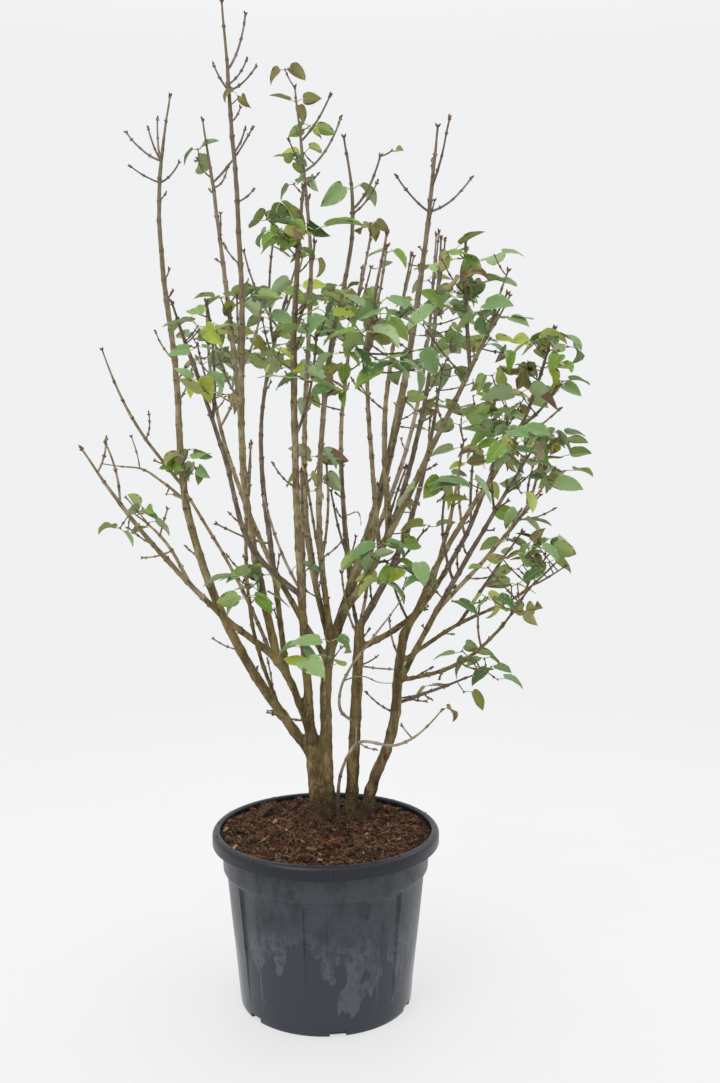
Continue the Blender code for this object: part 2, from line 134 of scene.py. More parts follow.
TRUNK_TOP = 0.90
TRUNK_VOXEL = 0.0025
TRUNK_SIDES = 16
TRUNK_PADDING = 0.0006
TRUNK_SMOOTHING = 0.5
TRUNK_SMOOTHING_ROUNDS = 5
TRUNK_OVERLAP = 2
TRUNK_LEAST_REACH = 0.10
TRUNK_LEAST_RADIUS = 0.0045
TRUNK_PAST_FORK = 0.002
TRUNK_LEAST_RELIEF = 0.25
FISSURES = ((0.0042, 0.0042, 0.026), 0.0016)
TRUNK_LUMPS = ((0.014, 0.014, 0.022), 0.0016)
BARK_SCALES = ((0.005, 0.005, 0.007), 0.0009)
BUTTRESSES = ((0.016, 0.016, 0.200), 0.0060)
BUTTRESS_REACH = 0.018


class Limb(NamedTuple):
    """A tapering limb. Its foot is a place on the soil, or a height on the limb it grows from."""

    name: str
    grows_from: str | None
    foot: tuple | float
    bends: list
    tip: tuple
    radius: float
    tip_radius: float
    bark: str


LIMBS = [
    Limb("left_stem", None, (-0.017, 0.062),
         [(-0.025, 0.06, 0.46)],
         (-0.038, 0.05, 0.62), 0.0155, 0.013, "olive"),
    Limb("middle_stem", None, (0.007, 0.060),
         [(0.00, 0.06, 0.56), (0.005, 0.06, 0.74), (0.04, 0.07, 0.85), (0.11, 0.08, 1.07),
          (0.21, 0.09, 1.60)],
         (0.24, 0.10, 1.88), 0.0145, 0.0035, "olive"),
    Limb("inner_right_stem", None, (0.052, 0.060),
         [(0.07, 0.05, 0.74)],
         (0.075, 0.05, 0.86), 0.0145, 0.010, "olive"),
    Limb("outer_right_stem", None, (0.074, 0.060),
         [(0.10, 0.055, 0.45), (0.145, 0.045, 0.58), (0.16, 0.04, 0.73)],
         (0.175, 0.03, 0.83), 0.0125, 0.0095, "olive"),
    Limb("low_right_shoot", None, (0.032, 0.040),
         [(0.04, -0.01, 0.52), (0.07, -0.04, 0.575), (0.15, -0.08, 0.58)],
         (0.24, -0.14, 0.67), 0.004, 0.0025, "pale"),
    Limb("far_left_bough", "left_stem", 0.52,
         [(-0.20, 0.08, 0.77), (-0.30, 0.10, 1.03), (-0.33, 0.12, 1.36), (-0.365, 0.15, 1.76)],
         (-0.34, 0.16, 1.96), 0.0115, 0.003, "olive"),
    Limb("far_left_shoot", "far_left_bough", 1.11,
         [(-0.42, 0.03, 1.28)],
         (-0.46, -0.02, 1.40), 0.004, 0.0025, "tan"),
    Limb("inner_left_twig", "far_left_bough", 0.61,
         [(-0.15, -0.01, 0.80)],
         (-0.14, -0.16, 1.21), 0.005, 0.003, "tan"),
    Limb("left_bough", "left_stem", 0.55,
         [(-0.10, -0.01, 0.74), (-0.22, -0.07, 0.86), (-0.37, -0.16, 1.05)],
         (-0.46, -0.22, 1.20), 0.009, 0.003, "olive"),
    Limb("low_left_spray", "left_bough", 0.92,
         [(-0.35, 0.01, 1.01)],
         (-0.43, 0.09, 1.06), 0.004, 0.0025, "tan"),
    Limb("tall_bough", "left_bough", 0.74,
         [(-0.17, 0.00, 1.12), (-0.17, -0.02, 1.52)],
         (-0.20, -0.06, 2.08), 0.009, 0.003, "olive"),
    Limb("back_left_bough", "tall_bough", 1.25,
         [(-0.25, 0.18, 1.76)],
         (-0.28, 0.24, 1.93), 0.006, 0.003, "tan"),
    Limb("dark_back_bough", "left_bough", 0.71,
         [(-0.11, 0.09, 0.88), (-0.15, 0.21, 1.26)],
         (-0.07, 0.33, 1.64), 0.007, 0.003, "dark"),
    Limb("front_centre_bough", "left_stem", 0.57,
         [(-0.05, -0.05, 0.93), (-0.05, -0.20, 1.46)],
         (-0.03, -0.27, 1.68), 0.010, 0.004, "olive"),
    Limb("top_centre_bough", "middle_stem", 0.76,
         [(-0.03, 0.09, 0.93), (-0.04, 0.17, 1.70)],
         (-0.07, 0.20, 1.99), 0.007, 0.003, "tan"),
    Limb("front_left_bough", "front_centre_bough", 0.89,
         [(-0.14, -0.11, 0.99), (-0.19, -0.20, 1.19)],
         (-0.26, -0.36, 1.46), 0.006, 0.003, "dark"),
    Limb("rear_left_bough", "middle_stem", 0.73,
         [(-0.13, 0.17, 0.94), (-0.29, 0.38, 1.40)],
         (-0.30, 0.42, 1.55), 0.007, 0.003, "olive"),
    Limb("right_bough", "middle_stem", 0.84,
         [(0.07, 0.01, 0.89), (0.13, -0.03, 1.01), (0.25, -0.15, 1.27)],
         (0.35, -0.24, 1.49), 0.009, 0.003, "olive"),
    Limb("right_bough_fork", "right_bough", 1.35,
         [(0.28, -0.17, 1.48)],
         (0.28, -0.13, 1.61), 0.004, 0.003, "dark"),
    Limb("mid_right_bough", "right_bough", 1.02,
         [(0.13, 0.12, 1.28)],
         (0.20, 0.32, 1.64), 0.007, 0.003, "olive"),
    Limb("dark_right_bough", "right_bough", 1.03,
         [(0.20, 0.02, 1.24)],
         (0.25, 0.12, 1.65), 0.006, 0.003, "dark"),
    Limb("pale_right_bough", "middle_stem", 0.88,
         [(0.18, 0.22, 1.19)],
         (0.26, 0.44, 1.71), 0.006, 0.003, "pale"),
    Limb("front_middle_bough", "middle_stem", 0.77,
         [(-0.01, -0.07, 1.08), (0.01, -0.15, 1.35), (0.06, -0.26, 1.65)],
         (0.045, -0.30, 1.76), 0.007, 0.003, "tan"),
    Limb("back_middle_bough", "middle_stem", 0.90,
         [(0.03, 0.22, 1.18)],
         (0.10, 0.45, 1.70), 0.006, 0.003, "tan"),
    Limb("front_inner_bough", "right_bough", 0.98,
         [(0.10, -0.12, 1.15), (0.09, -0.30, 1.40)],
         (0.12, -0.42, 1.57), 0.005, 0.003, "tan"),
    Limb("inner_right_bough", "inner_right_stem", 0.81,
         [(0.15, 0.13, 0.94)],
         (0.27, 0.35, 1.38), 0.008, 0.003, "dark"),
    Limb("upper_right_bough", "inner_right_stem", 0.76,
         [(0.20, 0.08, 0.84), (0.26, 0.10, 0.99)],
         (0.30, 0.13, 1.20), 0.007, 0.003, "tan"),
    Limb("long_right_bough", "outer_right_stem", 0.78,
         [(0.25, 0.01, 0.97), (0.41, -0.04, 1.25)],
         (0.47, -0.06, 1.44), 0.007, 0.003, "olive"),
    Limb("front_right_bough", "outer_right_stem", 0.68,
         [(0.24, -0.09, 0.88)],
         (0.39, -0.32, 1.20), 0.007, 0.003, "dark"),
    Limb("rear_right_bough", "outer_right_stem", 0.80,
         [(0.30, 0.18, 0.97)],
         (0.44, 0.40, 1.27), 0.007, 0.003, "dark"),
    Limb("right_fan_bough", "front_right_bough", 0.87,
         [(0.36, 0.03, 0.98), (0.44, 0.09, 1.07)],
         (0.48, 0.15, 1.20), 0.005, 0.003, "tan"),
    Limb("low_right_bough", "outer_right_stem", 0.73,
         [(0.29, 0.07, 0.81), (0.44, 0.10, 0.88)],
         (0.52, 0.12, 0.95), 0.005, 0.003, "tan"),
    Limb("mid_low_right_bough", "low_right_bough", 0.81,
         [(0.32, -0.01, 0.88)],
         (0.40, -0.12, 1.03), 0.004, 0.003, "dark"),
    Limb("right_skirt_bough", "outer_right_stem", 0.69,
         [(0.28, -0.10, 0.76)],
         (0.39, -0.30, 0.94), 0.005, 0.003, "dark"),
    Limb("lowest_right_shoot", "outer_right_stem", 0.64,
         [(0.28, 0.15, 0.66)],
         (0.38, 0.22, 0.68), 0.004, 0.0025, "dark"),
]

SIDE_LIMBS = [
    Limb("far_left_side_shoot", "far_left_bough", 1.08,
         [(-0.36, 0.11, 1.12), (-0.41, 0.13, 1.15), (-0.46, 0.14, 1.155)],
         (-0.50, 0.15, 1.16), 0.0032, 0.002, "tan"),
    Limb("inner_right_side_shoot", "inner_right_stem", 0.597,
         [(0.032, 0.02, 0.63), (0.035, 0.00, 0.69), (0.05, -0.01, 0.725), (0.10, -0.025, 0.795)],
         (0.165, -0.03, 0.885), 0.0034, 0.002, "pale"),
    Limb("crossing_twig", "inner_right_side_shoot", 0.70,
         [(0.082, -0.02, 0.714), (0.114, -0.02, 0.701)],
         (0.144, -0.02, 0.699), 0.0019, 0.0013, "tan"),
]


class Shoot(NamedTuple):
    """A bare shoot of last summer: the height on its parent where it leaves, its tip and its bark."""

    foot: float
    tip: tuple
    bark: str


SHOOTS = {
    "far_left_bough": [
        (1.77, (-0.42, 0.11, 1.80), "tan"), (1.77, (-0.33, 0.21, 1.83), "dark"),
        (1.82, (-0.45, 0.23, 1.90), "tan"), (1.82, (-0.38, 0.11, 1.88), "tan"),
        (1.82, (-0.38, 0.23, 1.93), "pale"),
    ],
    "back_left_bough": [
        (1.78, (-0.16, 0.15, 1.89), "tan"), (1.77, (-0.23, 0.29, 1.84), "pale"),
        (1.79, (-0.29, 0.22, 1.84), "dark"),
    ],
    "tall_bough": [
        (1.91, (-0.21, -0.12, 1.94), "pale"), (1.91, (-0.14, 0.02, 1.98), "dark"),
        (1.95, (-0.16, 0.01, 2.08), "pale"), (1.85, (-0.17, -0.01, 1.89), "tan"),
        (1.79, (-0.15, -0.12, 1.82), "tan"), (1.29, (-0.24, 0.04, 1.45), "dark"),
        (1.33, (-0.18, -0.02, 1.51), "tan"), (1.36, (-0.13, 0.02, 1.51), "pale"),
        (1.08, (-0.16, 0.03, 1.20), "tan"),
    ],
    "top_centre_bough": [
        (1.87, (0.01, 0.12, 1.95), "tan"), (1.80, (0.03, 0.26, 1.94), "pale"),
        (1.81, (-0.08, 0.13, 1.86), "dark"), (1.78, (-0.02, 0.23, 1.81), "dark"),
        (0.86, (-0.05, 0.11, 1.07), "dark"), (0.90, (0.00, 0.12, 1.16), "tan"),
    ],
    "front_middle_bough": [
        (1.64, (0.11, -0.33, 1.72), "tan"), (0.94, (-0.04, -0.03, 1.16), "tan"),
    ],
    "middle_stem": [
        (1.70, (0.15, 0.02, 1.76), "tan"), (1.70, (0.32, 0.18, 1.79), "tan"),
        (1.75, (0.26, 0.03, 1.88), "dark"), (1.61, (0.20, 0.05, 1.62), "pale"),
        (1.07, (0.17, 0.00, 1.30), "dark"), (0.61, (-0.00, -0.09, 0.75), "tan"),
    ],
    "dark_back_bough": [
        (1.47, (-0.19, 0.24, 1.64), "pale"), (1.43, (-0.125, 0.28, 1.68), "dark"),
        (1.46, (-0.06, 0.32, 1.64), "tan"), (0.98, (-0.24, 0.09, 1.03), "tan"),
    ],
    "back_middle_bough": [
        (1.44, (0.08, 0.43, 1.63), "pale"), (1.49, (0.10, 0.36, 1.62), "dark"),
        (1.58, (0.10, 0.44, 1.71), "pale"), (0.94, (0.01, 0.12, 1.10), "dark"),
    ],
    "front_inner_bough": [
        (1.41, (0.12, -0.41, 1.55), "pale"),
    ],
    "mid_right_bough": [
        (1.47, (0.19, 0.22, 1.63), "dark"),
    ],
    "pale_right_bough": [
        (1.57, (0.26, 0.34, 1.70), "pale"),
    ],
    "dark_right_bough": [
        (1.52, (0.26, 0.14, 1.65), "dark"),
    ],
    "right_bough_fork": [
        (1.51, (0.28, -0.15, 1.60), "dark"),
    ],
    "right_bough": [
        (1.42, (0.35, -0.25, 1.53), "tan"), (1.41, (0.36, -0.20, 1.49), "tan"),
        (1.00, (0.17, -0.05, 1.16), "dark"),
    ],
    "long_right_bough": [
        (1.32, (0.47, -0.05, 1.44), "tan"), (1.29, (0.45, -0.10, 1.39), "dark"),
        (1.25, (0.50, 0.03, 1.33), "tan"), (1.24, (0.47, -0.09, 1.32), "dark"),
        (1.22, (0.50, 0.04, 1.28), "tan"),
    ],
    "right_fan_bough": [
        (1.04, (0.45, -0.03, 1.10), "tan"), (1.07, (0.46, 0.12, 1.17), "dark"),
        (1.07, (0.50, 0.10, 1.15), "tan"),
    ],
    "low_right_bough": [
        (0.88, (0.50, 0.14, 0.96), "dark"), (0.89, (0.52, 0.06, 0.94), "tan"),
    ],
    "far_left_side_shoot": [
        (1.15, (-0.43, 0.12, 1.22), "tan"),
    ],
    "left_bough": [
        (1.09, (-0.42, -0.19, 1.21), "tan"), (1.15, (-0.42, -0.18, 1.22), "tan"),
        (0.76, (-0.30, 0.04, 1.10), "tan"),
    ],
    "low_left_spray": [
        (1.03, (-0.43, 0.05, 1.09), "tan"), (1.01, (-0.33, -0.02, 1.07), "tan"),
    ],
    "front_left_bough": [
        (1.25, (-0.21, -0.27, 1.47), "dark"), (1.31, (-0.26, -0.29, 1.43), "tan"),
    ],
    "rear_left_bough": [
        (1.24, (-0.21, 0.36, 1.42), "tan"), (1.28, (-0.32, 0.40, 1.44), "dark"),
    ],
    "front_centre_bough": [
        (1.19, (-0.06, -0.17, 1.40), "tan"), (1.22, (-0.01, -0.20, 1.41), "dark"),
        (1.42, (-0.01, -0.26, 1.58), "tan"), (0.76, (-0.06, -0.05, 1.13), "pale"),
        (0.78, (-0.05, 0.00, 1.15), "tan"), (0.90, (-0.13, 0.00, 1.10), "pale"),
    ],
    "upper_right_bough": [
        (0.82, (0.13, -0.03, 0.96), "dark"),
    ],
    "inner_right_bough": [
        (0.92, (0.21, 0.02, 1.02), "dark"),
    ],
    "front_right_bough": [
        (0.93, (0.24, -0.20, 1.12), "dark"), (1.08, (0.33, -0.26, 1.21), "dark"),
    ],
    "rear_right_bough": [
        (1.02, (0.36, 0.32, 1.25), "dark"), (0.99, (0.32, 0.31, 1.21), "tan"),
    ],
    "right_skirt_bough": [
        (0.80, (0.31, -0.20, 0.90), "dark"),
    ],
    "low_right_shoot": [
        (0.57, (0.07, 0.00, 0.62), "tan"), (0.60, (0.16, -0.11, 0.63), "tan"),
    ],
    "inner_right_stem": [
        (0.79, (0.035, 0.100, 1.16), "dark"), (0.80, (0.110, -0.020, 1.12), "tan"),
        (0.78, (0.035, 0.020, 0.93), "tan"), (0.72, (0.140, 0.020, 0.721), "tan"),
        (0.72, (0.111, 0.040, 0.745), "dark"),
    ],
    "left_stem": [
        (0.60, (-0.115, -0.01, 0.636), "tan"),
    ],
    "outer_right_stem": [
        (0.65, (0.23, 0.08, 0.66), "dark"), (0.74, (0.137, 0.00, 0.832), "tan"),
    ],
}


class Spray(NamedTuple):
    """A leafy twig: the middle of its leaves, how many there are, their length and their tint."""

    place: tuple
    leaves: int
    length: float
    tint: str


SPRAYS = {
    "top_centre_leaves": [
        ((-0.09, 0.19, 2.01), 2, 0.046, "rusty"), ((-0.07, 0.19, 1.95), 3, 0.042, "rusty"),
        ((-0.04, 0.22, 1.90), 4, 0.040, "green"), ((-0.07, 0.18, 1.82), 5, 0.038, "green"),
        ((-0.05, 0.22, 1.84), 2, 0.040, "lime"), ((-0.04, 0.23, 1.79), 2, 0.042, "blue"),
        ((-0.07, 0.15, 1.76), 2, 0.034, "deep"),
    ],
    "top_left_leaves": [
        ((-0.29, 0.23, 1.85), 4, 0.042, "blue"), ((-0.30, 0.25, 1.83), 1, 0.044, "deep"),
    ],
    "high_centre_leaves": [
        ((-0.09, -0.25, 1.59), 4, 0.050, "blue"), ((-0.08, -0.27, 1.61), 1, 0.072, "lime"),
        ((-0.07, -0.21, 1.58), 2, 0.044, "blue"), ((-0.04, -0.23, 1.60), 2, 0.046, "deep"),
        ((-0.01, -0.28, 1.58), 2, 0.068, "green"), ((-0.05, -0.22, 1.55), 2, 0.044, "green"),
        ((-0.02, -0.20, 1.55), 2, 0.036, "olive"),
    ],
    "upper_left_leaves": [
        ((-0.22, 0.04, 1.50), 3, 0.044, "green"), ((-0.22, 0.07, 1.44), 2, 0.046, "deep"),
        ((-0.15, -0.01, 1.50), 1, 0.048, "green"), ((-0.13, 0.04, 1.47), 3, 0.050, "blue"),
        ((-0.10, 0.09, 1.52), 1, 0.038, "green"), ((-0.19, -0.01, 1.42), 2, 0.048, "green"),
        ((-0.17, 0.09, 1.42), 2, 0.046, "rusty"),
    ],
    "left_leaves": [
        ((-0.22, -0.31, 1.40), 2, 0.056, "green"), ((-0.23, -0.26, 1.44), 2, 0.044, "rusty"),
        ((-0.22, -0.36, 1.37), 2, 0.040, "blue"), ((-0.22, -0.27, 1.32), 4, 0.046, "lime"),
        ((-0.22, -0.31, 1.32), 1, 0.046, "blue"), ((-0.20, -0.35, 1.29), 2, 0.042, "olive"),
        ((-0.18, -0.29, 1.29), 1, 0.036, "rusty"),
    ],
    "rear_left_leaves": [
        ((-0.23, 0.36, 1.40), 5, 0.056, "blue"), ((-0.25, 0.41, 1.39), 2, 0.050, "rusty"),
        ((-0.30, 0.43, 1.40), 2, 0.048, "green"), ((-0.28, 0.40, 1.46), 2, 0.048, "blue"),
        ((-0.24, 0.38, 1.35), 2, 0.046, "deep"),
    ],
    "outer_left_leaves": [
        ((-0.33, 0.11, 1.15), 4, 0.044, "green"), ((-0.36, 0.15, 1.08), 1, 0.044, "olive"),
        ((-0.31, 0.15, 1.18), 2, 0.038, "blue"),
    ],
    "low_left_leaves": [
        ((-0.45, 0.08, 1.01), 2, 0.046, "olive"), ((-0.44, 0.11, 1.00), 1, 0.038, "deep"),
        ((-0.39, 0.08, 1.02), 1, 0.046, "green"), ((-0.41, 0.12, 1.04), 1, 0.040, "blue"),
    ],
    "centre_front_leaves": [
        ((-0.03, -0.20, 1.41), 4, 0.062, "blue"), ((0.01, -0.17, 1.41), 2, 0.054, "blue"),
        ((-0.04, -0.24, 1.32), 4, 0.054, "blue"), ((-0.01, -0.18, 1.34), 3, 0.052, "green"),
        ((0.02, -0.15, 1.31), 2, 0.048, "blue"), ((0.03, -0.16, 1.35), 2, 0.042, "olive"),
        ((0.04, -0.16, 1.30), 2, 0.036, "lime"), ((0.01, -0.23, 1.44), 2, 0.044, "lime"),
        ((0.02, -0.22, 1.47), 2, 0.052, "green"), ((0.04, -0.16, 1.46), 2, 0.046, "deep"),
    ],
    "centre_back_leaves": [
        ((-0.07, 0.26, 1.55), 2, 0.054, "lime"), ((-0.10, 0.31, 1.53), 2, 0.046, "green"),
        ((-0.06, 0.32, 1.48), 2, 0.048, "deep"), ((-0.13, 0.21, 1.47), 2, 0.050, "deep"),
        ((-0.17, 0.30, 1.40), 2, 0.048, "green"), ((-0.05, 0.31, 1.30), 2, 0.046, "green"),
        ((-0.11, 0.34, 1.37), 2, 0.046, "lime"),
    ],
    "back_leaves": [
        ((0.08, 0.38, 1.56), 2, 0.048, "green"), ((0.07, 0.41, 1.52), 2, 0.052, "olive"),
        ((0.06, 0.33, 1.48), 2, 0.060, "blue"), ((-0.00, 0.43, 1.47), 4, 0.052, "green"),
        ((0.04, 0.41, 1.46), 2, 0.046, "deep"), ((0.11, 0.38, 1.61), 1, 0.036, "blue"),
        ((0.09, 0.46, 1.45), 2, 0.050, "lime"),
    ],
    "inner_front_leaves": [
        ((0.12, -0.39, 1.53), 2, 0.046, "green"), ((0.11, -0.32, 1.42), 5, 0.054, "blue"),
        ((0.10, -0.31, 1.39), 3, 0.050, "rusty"), ((0.14, -0.37, 1.34), 3, 0.060, "blue"),
        ((0.12, -0.32, 1.34), 3, 0.058, "green"), ((0.04, -0.33, 1.36), 4, 0.050, "blue"),
        ((0.16, -0.29, 1.44), 2, 0.042, "blue"), ((0.16, -0.39, 1.36), 2, 0.054, "green"),
        ((0.19, -0.32, 1.37), 1, 0.042, "rusty"), ((0.17, -0.30, 1.33), 4, 0.050, "blue"),
    ],
    "right_top_leaves": [
        ((0.24, -0.14, 1.46), 4, 0.066, "blue"), ((0.23, -0.21, 1.54), 1, 0.054, "green"),
        ((0.26, -0.15, 1.57), 3, 0.046, "rusty"), ((0.27, -0.12, 1.56), 2, 0.040, "lime"),
        ((0.30, -0.19, 1.54), 2, 0.054, "deep"), ((0.33, -0.21, 1.55), 1, 0.046, "green"),
        ((0.32, -0.13, 1.51), 5, 0.052, "blue"), ((0.27, -0.21, 1.51), 3, 0.046, "rusty"),
        ((0.36, -0.16, 1.44), 4, 0.050, "blue"), ((0.30, -0.22, 1.44), 4, 0.056, "deep"),
        ((0.33, -0.14, 1.40), 5, 0.048, "green"), ((0.20, -0.11, 1.43), 2, 0.044, "blue"),
        ((0.35, -0.20, 1.37), 2, 0.046, "green"), ((0.29, -0.13, 1.40), 2, 0.046, "green"),
    ],
    "rear_top_right_leaves": [
        ((0.29, 0.34, 1.46), 2, 0.048, "lime"), ((0.29, 0.35, 1.42), 5, 0.054, "blue"),
        ((0.30, 0.37, 1.37), 3, 0.052, "blue"), ((0.29, 0.37, 1.35), 2, 0.052, "green"),
        ((0.24, 0.39, 1.58), 2, 0.048, "green"), ((0.21, 0.34, 1.53), 2, 0.046, "green"),
        ((0.22, 0.40, 1.45), 2, 0.050, "green"), ((0.26, 0.42, 1.44), 2, 0.050, "deep"),
    ],
    "far_right_leaves": [
        ((0.46, -0.06, 1.41), 5, 0.050, "blue"), ((0.45, -0.02, 1.35), 5, 0.046, "green"),
        ((0.41, -0.05, 1.35), 5, 0.046, "rusty"), ((0.49, -0.04, 1.32), 4, 0.050, "lime"),
        ((0.40, -0.09, 1.29), 2, 0.066, "blue"),
    ],
    "rear_right_leaves": [
        ((0.39, 0.35, 1.35), 4, 0.050, "lime"), ((0.34, 0.33, 1.33), 2, 0.058, "olive"),
        ((0.34, 0.30, 1.30), 1, 0.048, "lime"), ((0.42, 0.36, 1.30), 2, 0.050, "olive"),
        ((0.38, 0.30, 1.26), 5, 0.060, "blue"), ((0.41, 0.36, 1.24), 3, 0.056, "sage"),
        ((0.32, 0.38, 1.26), 2, 0.054, "blue"), ((0.31, 0.31, 1.23), 2, 0.058, "deep"),
        ((0.27, 0.34, 1.29), 4, 0.048, "olive"), ((0.32, 0.37, 1.18), 2, 0.052, "lime"),
        ((0.33, 0.29, 1.15), 2, 0.046, "lime"), ((0.44, 0.38, 1.23), 2, 0.052, "green"),
        ((0.46, 0.40, 1.19), 2, 0.050, "lime"),
    ],
    "front_right_leaves": [
        ((0.33, -0.27, 1.20), 3, 0.062, "deep"), ((0.36, -0.24, 1.22), 4, 0.054, "sage"),
        ((0.38, -0.30, 1.18), 2, 0.052, "rusty"), ((0.38, -0.27, 1.16), 2, 0.048, "blue"),
        ((0.32, -0.22, 1.12), 1, 0.038, "lime"), ((0.28, -0.27, 1.12), 2, 0.054, "blue"),
        ((0.24, -0.24, 1.13), 2, 0.046, "green"), ((0.20, -0.25, 1.11), 3, 0.062, "sage"),
        ((0.22, -0.27, 1.09), 1, 0.042, "olive"), ((0.37, -0.31, 1.11), 1, 0.038, "green"),
        ((0.38, -0.25, 1.13), 1, 0.046, "deep"),
    ],
    "outer_right_leaves": [
        ((0.49, 0.15, 1.21), 4, 0.058, "sage"), ((0.51, 0.10, 1.21), 2, 0.050, "deep"),
        ((0.53, 0.18, 1.16), 2, 0.052, "green"), ((0.53, 0.13, 1.13), 3, 0.054, "sage"),
        ((0.48, 0.09, 1.11), 1, 0.054, "lime"), ((0.47, 0.19, 1.16), 2, 0.046, "olive"),
        ((0.46, 0.18, 1.12), 1, 0.044, "green"),
    ],
    "low_right_leaves": [
        ((0.43, 0.07, 1.03), 4, 0.054, "sage"), ((0.40, 0.11, 0.98), 2, 0.046, "green"),
        ((0.44, 0.08, 0.97), 4, 0.046, "rusty"), ((0.50, 0.11, 0.98), 2, 0.048, "sage"),
        ((0.46, 0.04, 0.97), 2, 0.050, "green"), ((0.49, 0.09, 0.93), 2, 0.050, "green"),
        ((0.43, 0.06, 0.93), 1, 0.042, "green"), ((0.39, 0.11, 0.94), 1, 0.040, "lime"),
    ],
    "front_skirt_leaves": [
        ((0.32, -0.24, 0.96), 2, 0.042, "olive"), ((0.32, -0.23, 0.90), 3, 0.044, "lime"),
        ((0.25, -0.27, 0.90), 1, 0.042, "deep"), ((0.37, -0.20, 0.92), 1, 0.038, "green"),
    ],
    "inner_low_leaves": [
        ((-0.13, -0.04, 0.92), 2, 0.046, "lime"), ((-0.14, -0.02, 0.88), 2, 0.050, "green"),
        ((-0.16, -0.07, 0.88), 2, 0.048, "blue"), ((-0.08, -0.02, 0.92), 1, 0.056, "blue"),
    ],
    "middle_low_leaves": [
        ((0.15, -0.05, 0.97), 1, 0.054, "green"), ((0.10, -0.07, 0.96), 3, 0.050, "blue"),
        ((0.17, -0.04, 0.91), 2, 0.052, "blue"), ((0.12, -0.04, 0.91), 3, 0.052, "lime"),
        ((0.17, -0.02, 1.01), 1, 0.042, "lime"), ((0.22, -0.01, 1.02), 2, 0.046, "olive"),
        ((0.18, -0.01, 1.05), 1, 0.046, "green"),
    ],
    "lowest_right_leaves": [
        ((0.36, 0.18, 0.70), 2, 0.040, "green"), ((0.39, 0.18, 0.65), 1, 0.050, "deep"),
        ((0.31, 0.15, 0.63), 1, 0.044, "rusty"), ((0.24, 0.22, 0.63), 2, 0.040, "green"),
        ((0.34, 0.22, 0.67), 1, 0.036, "lime"),
    ],
    "single_leaves": [
        ((0.24, -0.14, 0.67), 1, 0.040, "olive"), ((-0.045, -0.10, 0.775), 2, 0.054, "blue"),
        ((-0.048, -0.12, 0.745), 1, 0.066, "blue"), ((0.013, -0.10, 0.785), 2, 0.062, "blue"),
        ((-0.024, -0.10, 0.748), 2, 0.050, "lime"), ((0.012, -0.10, 0.738), 1, 0.052, "lime"),
        ((0.034, -0.09, 0.779), 1, 0.030, "deep"), ((-0.02, 0.12, 1.16), 3, 0.058, "blue"),
        ((-0.01, 0.12, 1.11), 2, 0.046, "green"), ((-0.05, 0.12, 1.12), 2, 0.044, "olive"),
        ((-0.04, 0.14, 1.09), 1, 0.034, "lime"), ((0.06, 0.16, 1.04), 1, 0.038, "olive"),
        ((0.15, 0.10, 1.28), 1, 0.044, "green"), ((0.19, 0.12, 1.26), 1, 0.044, "rusty"),
        ((0.18, 0.12, 1.23), 1, 0.038, "lime"), ((0.16, 0.02, 1.29), 1, 0.046, "green"),
        ((0.06, -0.28, 1.66), 2, 0.048, "blue"), ((0.13, -0.33, 1.72), 1, 0.032, "olive"),
        ((0.10, 0.42, 1.72), 3, 0.046, "rusty"), ((-0.17, -0.05, 1.89), 2, 0.032, "rusty"),
    ],
}

# How the plant grows

NODE_GAP = 0.056
SHOOT_NODE_GAP = 0.040
TWIG_NODE_GAP = 0.026
SPUR_NODE_GAP = 0.020
NODE_GAP_SPREAD = (0.75, 1.25)
NO_NODE_AT_TIP = 0.4
WANDER = 0.009
HELD_AT_FOOT = 0.05
HELD_AT_TIP = 0.03
UNDER_TOP = 0.003
LEAVING_SPREAD = 0.8
LEAVING_SAG = 0.1
LEAVING_BEND = 0.45
SHOOT_RADIUS = 0.0017
SHOOT_THICKENS = 0.0065
SHOOT_TIP = 0.0013
SHOOT_TAPER = 0.72
MOST_OF_PARENT = 0.8
SPUR_SHARE = 0.38
SPUR_LEAST_RADIUS = 0.0032
SPUR_LEAST_HEIGHT = 0.56
SPUR_SHORTEST = 0.010
SPUR_MOST_GAIN = 0.075
SPUR_LEAN = (0.5, 1.4)
SPUR_RADII = (0.0019, 0.0015)
BUD_SHARE = 0.8
BUD_MOST_RADIUS = 0.0075
BUD_LENGTHS = (0.0030, 0.0048)
BUD_WIDTH = 0.72
BUD_STEPS = np.array([-0.15, 0.15, 0.45, 0.8, 1.0])
BUD_SHAPE = np.array([0.6, 0.95, 0.97, 0.5, 0.12])
END_BUD_LENGTHS = (0.0065, 0.0090)
END_BUD_WIDTH = 0.56
END_BUD_STEM = 0.0018
END_BUD_SIZES = (0.65, 1.2)
END_BUD_SPREAD = (0.35, 0.7)
LOWER_PAIR = 0.7
RIDGES = ((0.0022, 0.0022, 0.030), 0.00022)
KNOBS = ((0.006, 0.006, 0.012), 0.00045)
KNOB_FULL_RADIUS = 0.004
STEM_SIDES = ((0.006, 14), (0.003, 10), (0.0, 8))
TWIG_SIDES = 6
KNOB_MOST = 1.5
NODE_SWELLING = (0.03, 0.0009)
NODE_LENGTH = (0.0022, 0.45)
SCAR_SHARE = 0.72
SCAR_FULL_RADIUS = 0.0042
HOST_MOST_RADIUS = 0.008
HOST_LEAST_RUN = 0.015
HOST_STEEPNESS = 0.5
SHORTEST_TWIG = 0.012
TWIG_RADIUS = 0.0012
TWIG_THICKENS = 0.007
TWIG_MOST_RADIUS = 0.0024
LEAF_PAIR_GAP = 0.027
LEAF_GROWTH = 1.06
LEAF_SIZE_SPREAD = (0.86, 1.12)
LEAF_PAIR_SIZES = (1.0, 0.95, 0.9)
LEAF_TURN = 0.8
LEAF_TURN_SPREAD = 0.25
LEAF_RISE = 0.15
LEAF_HANG = 0.28
OWN_TINT_SHARE = 0.62
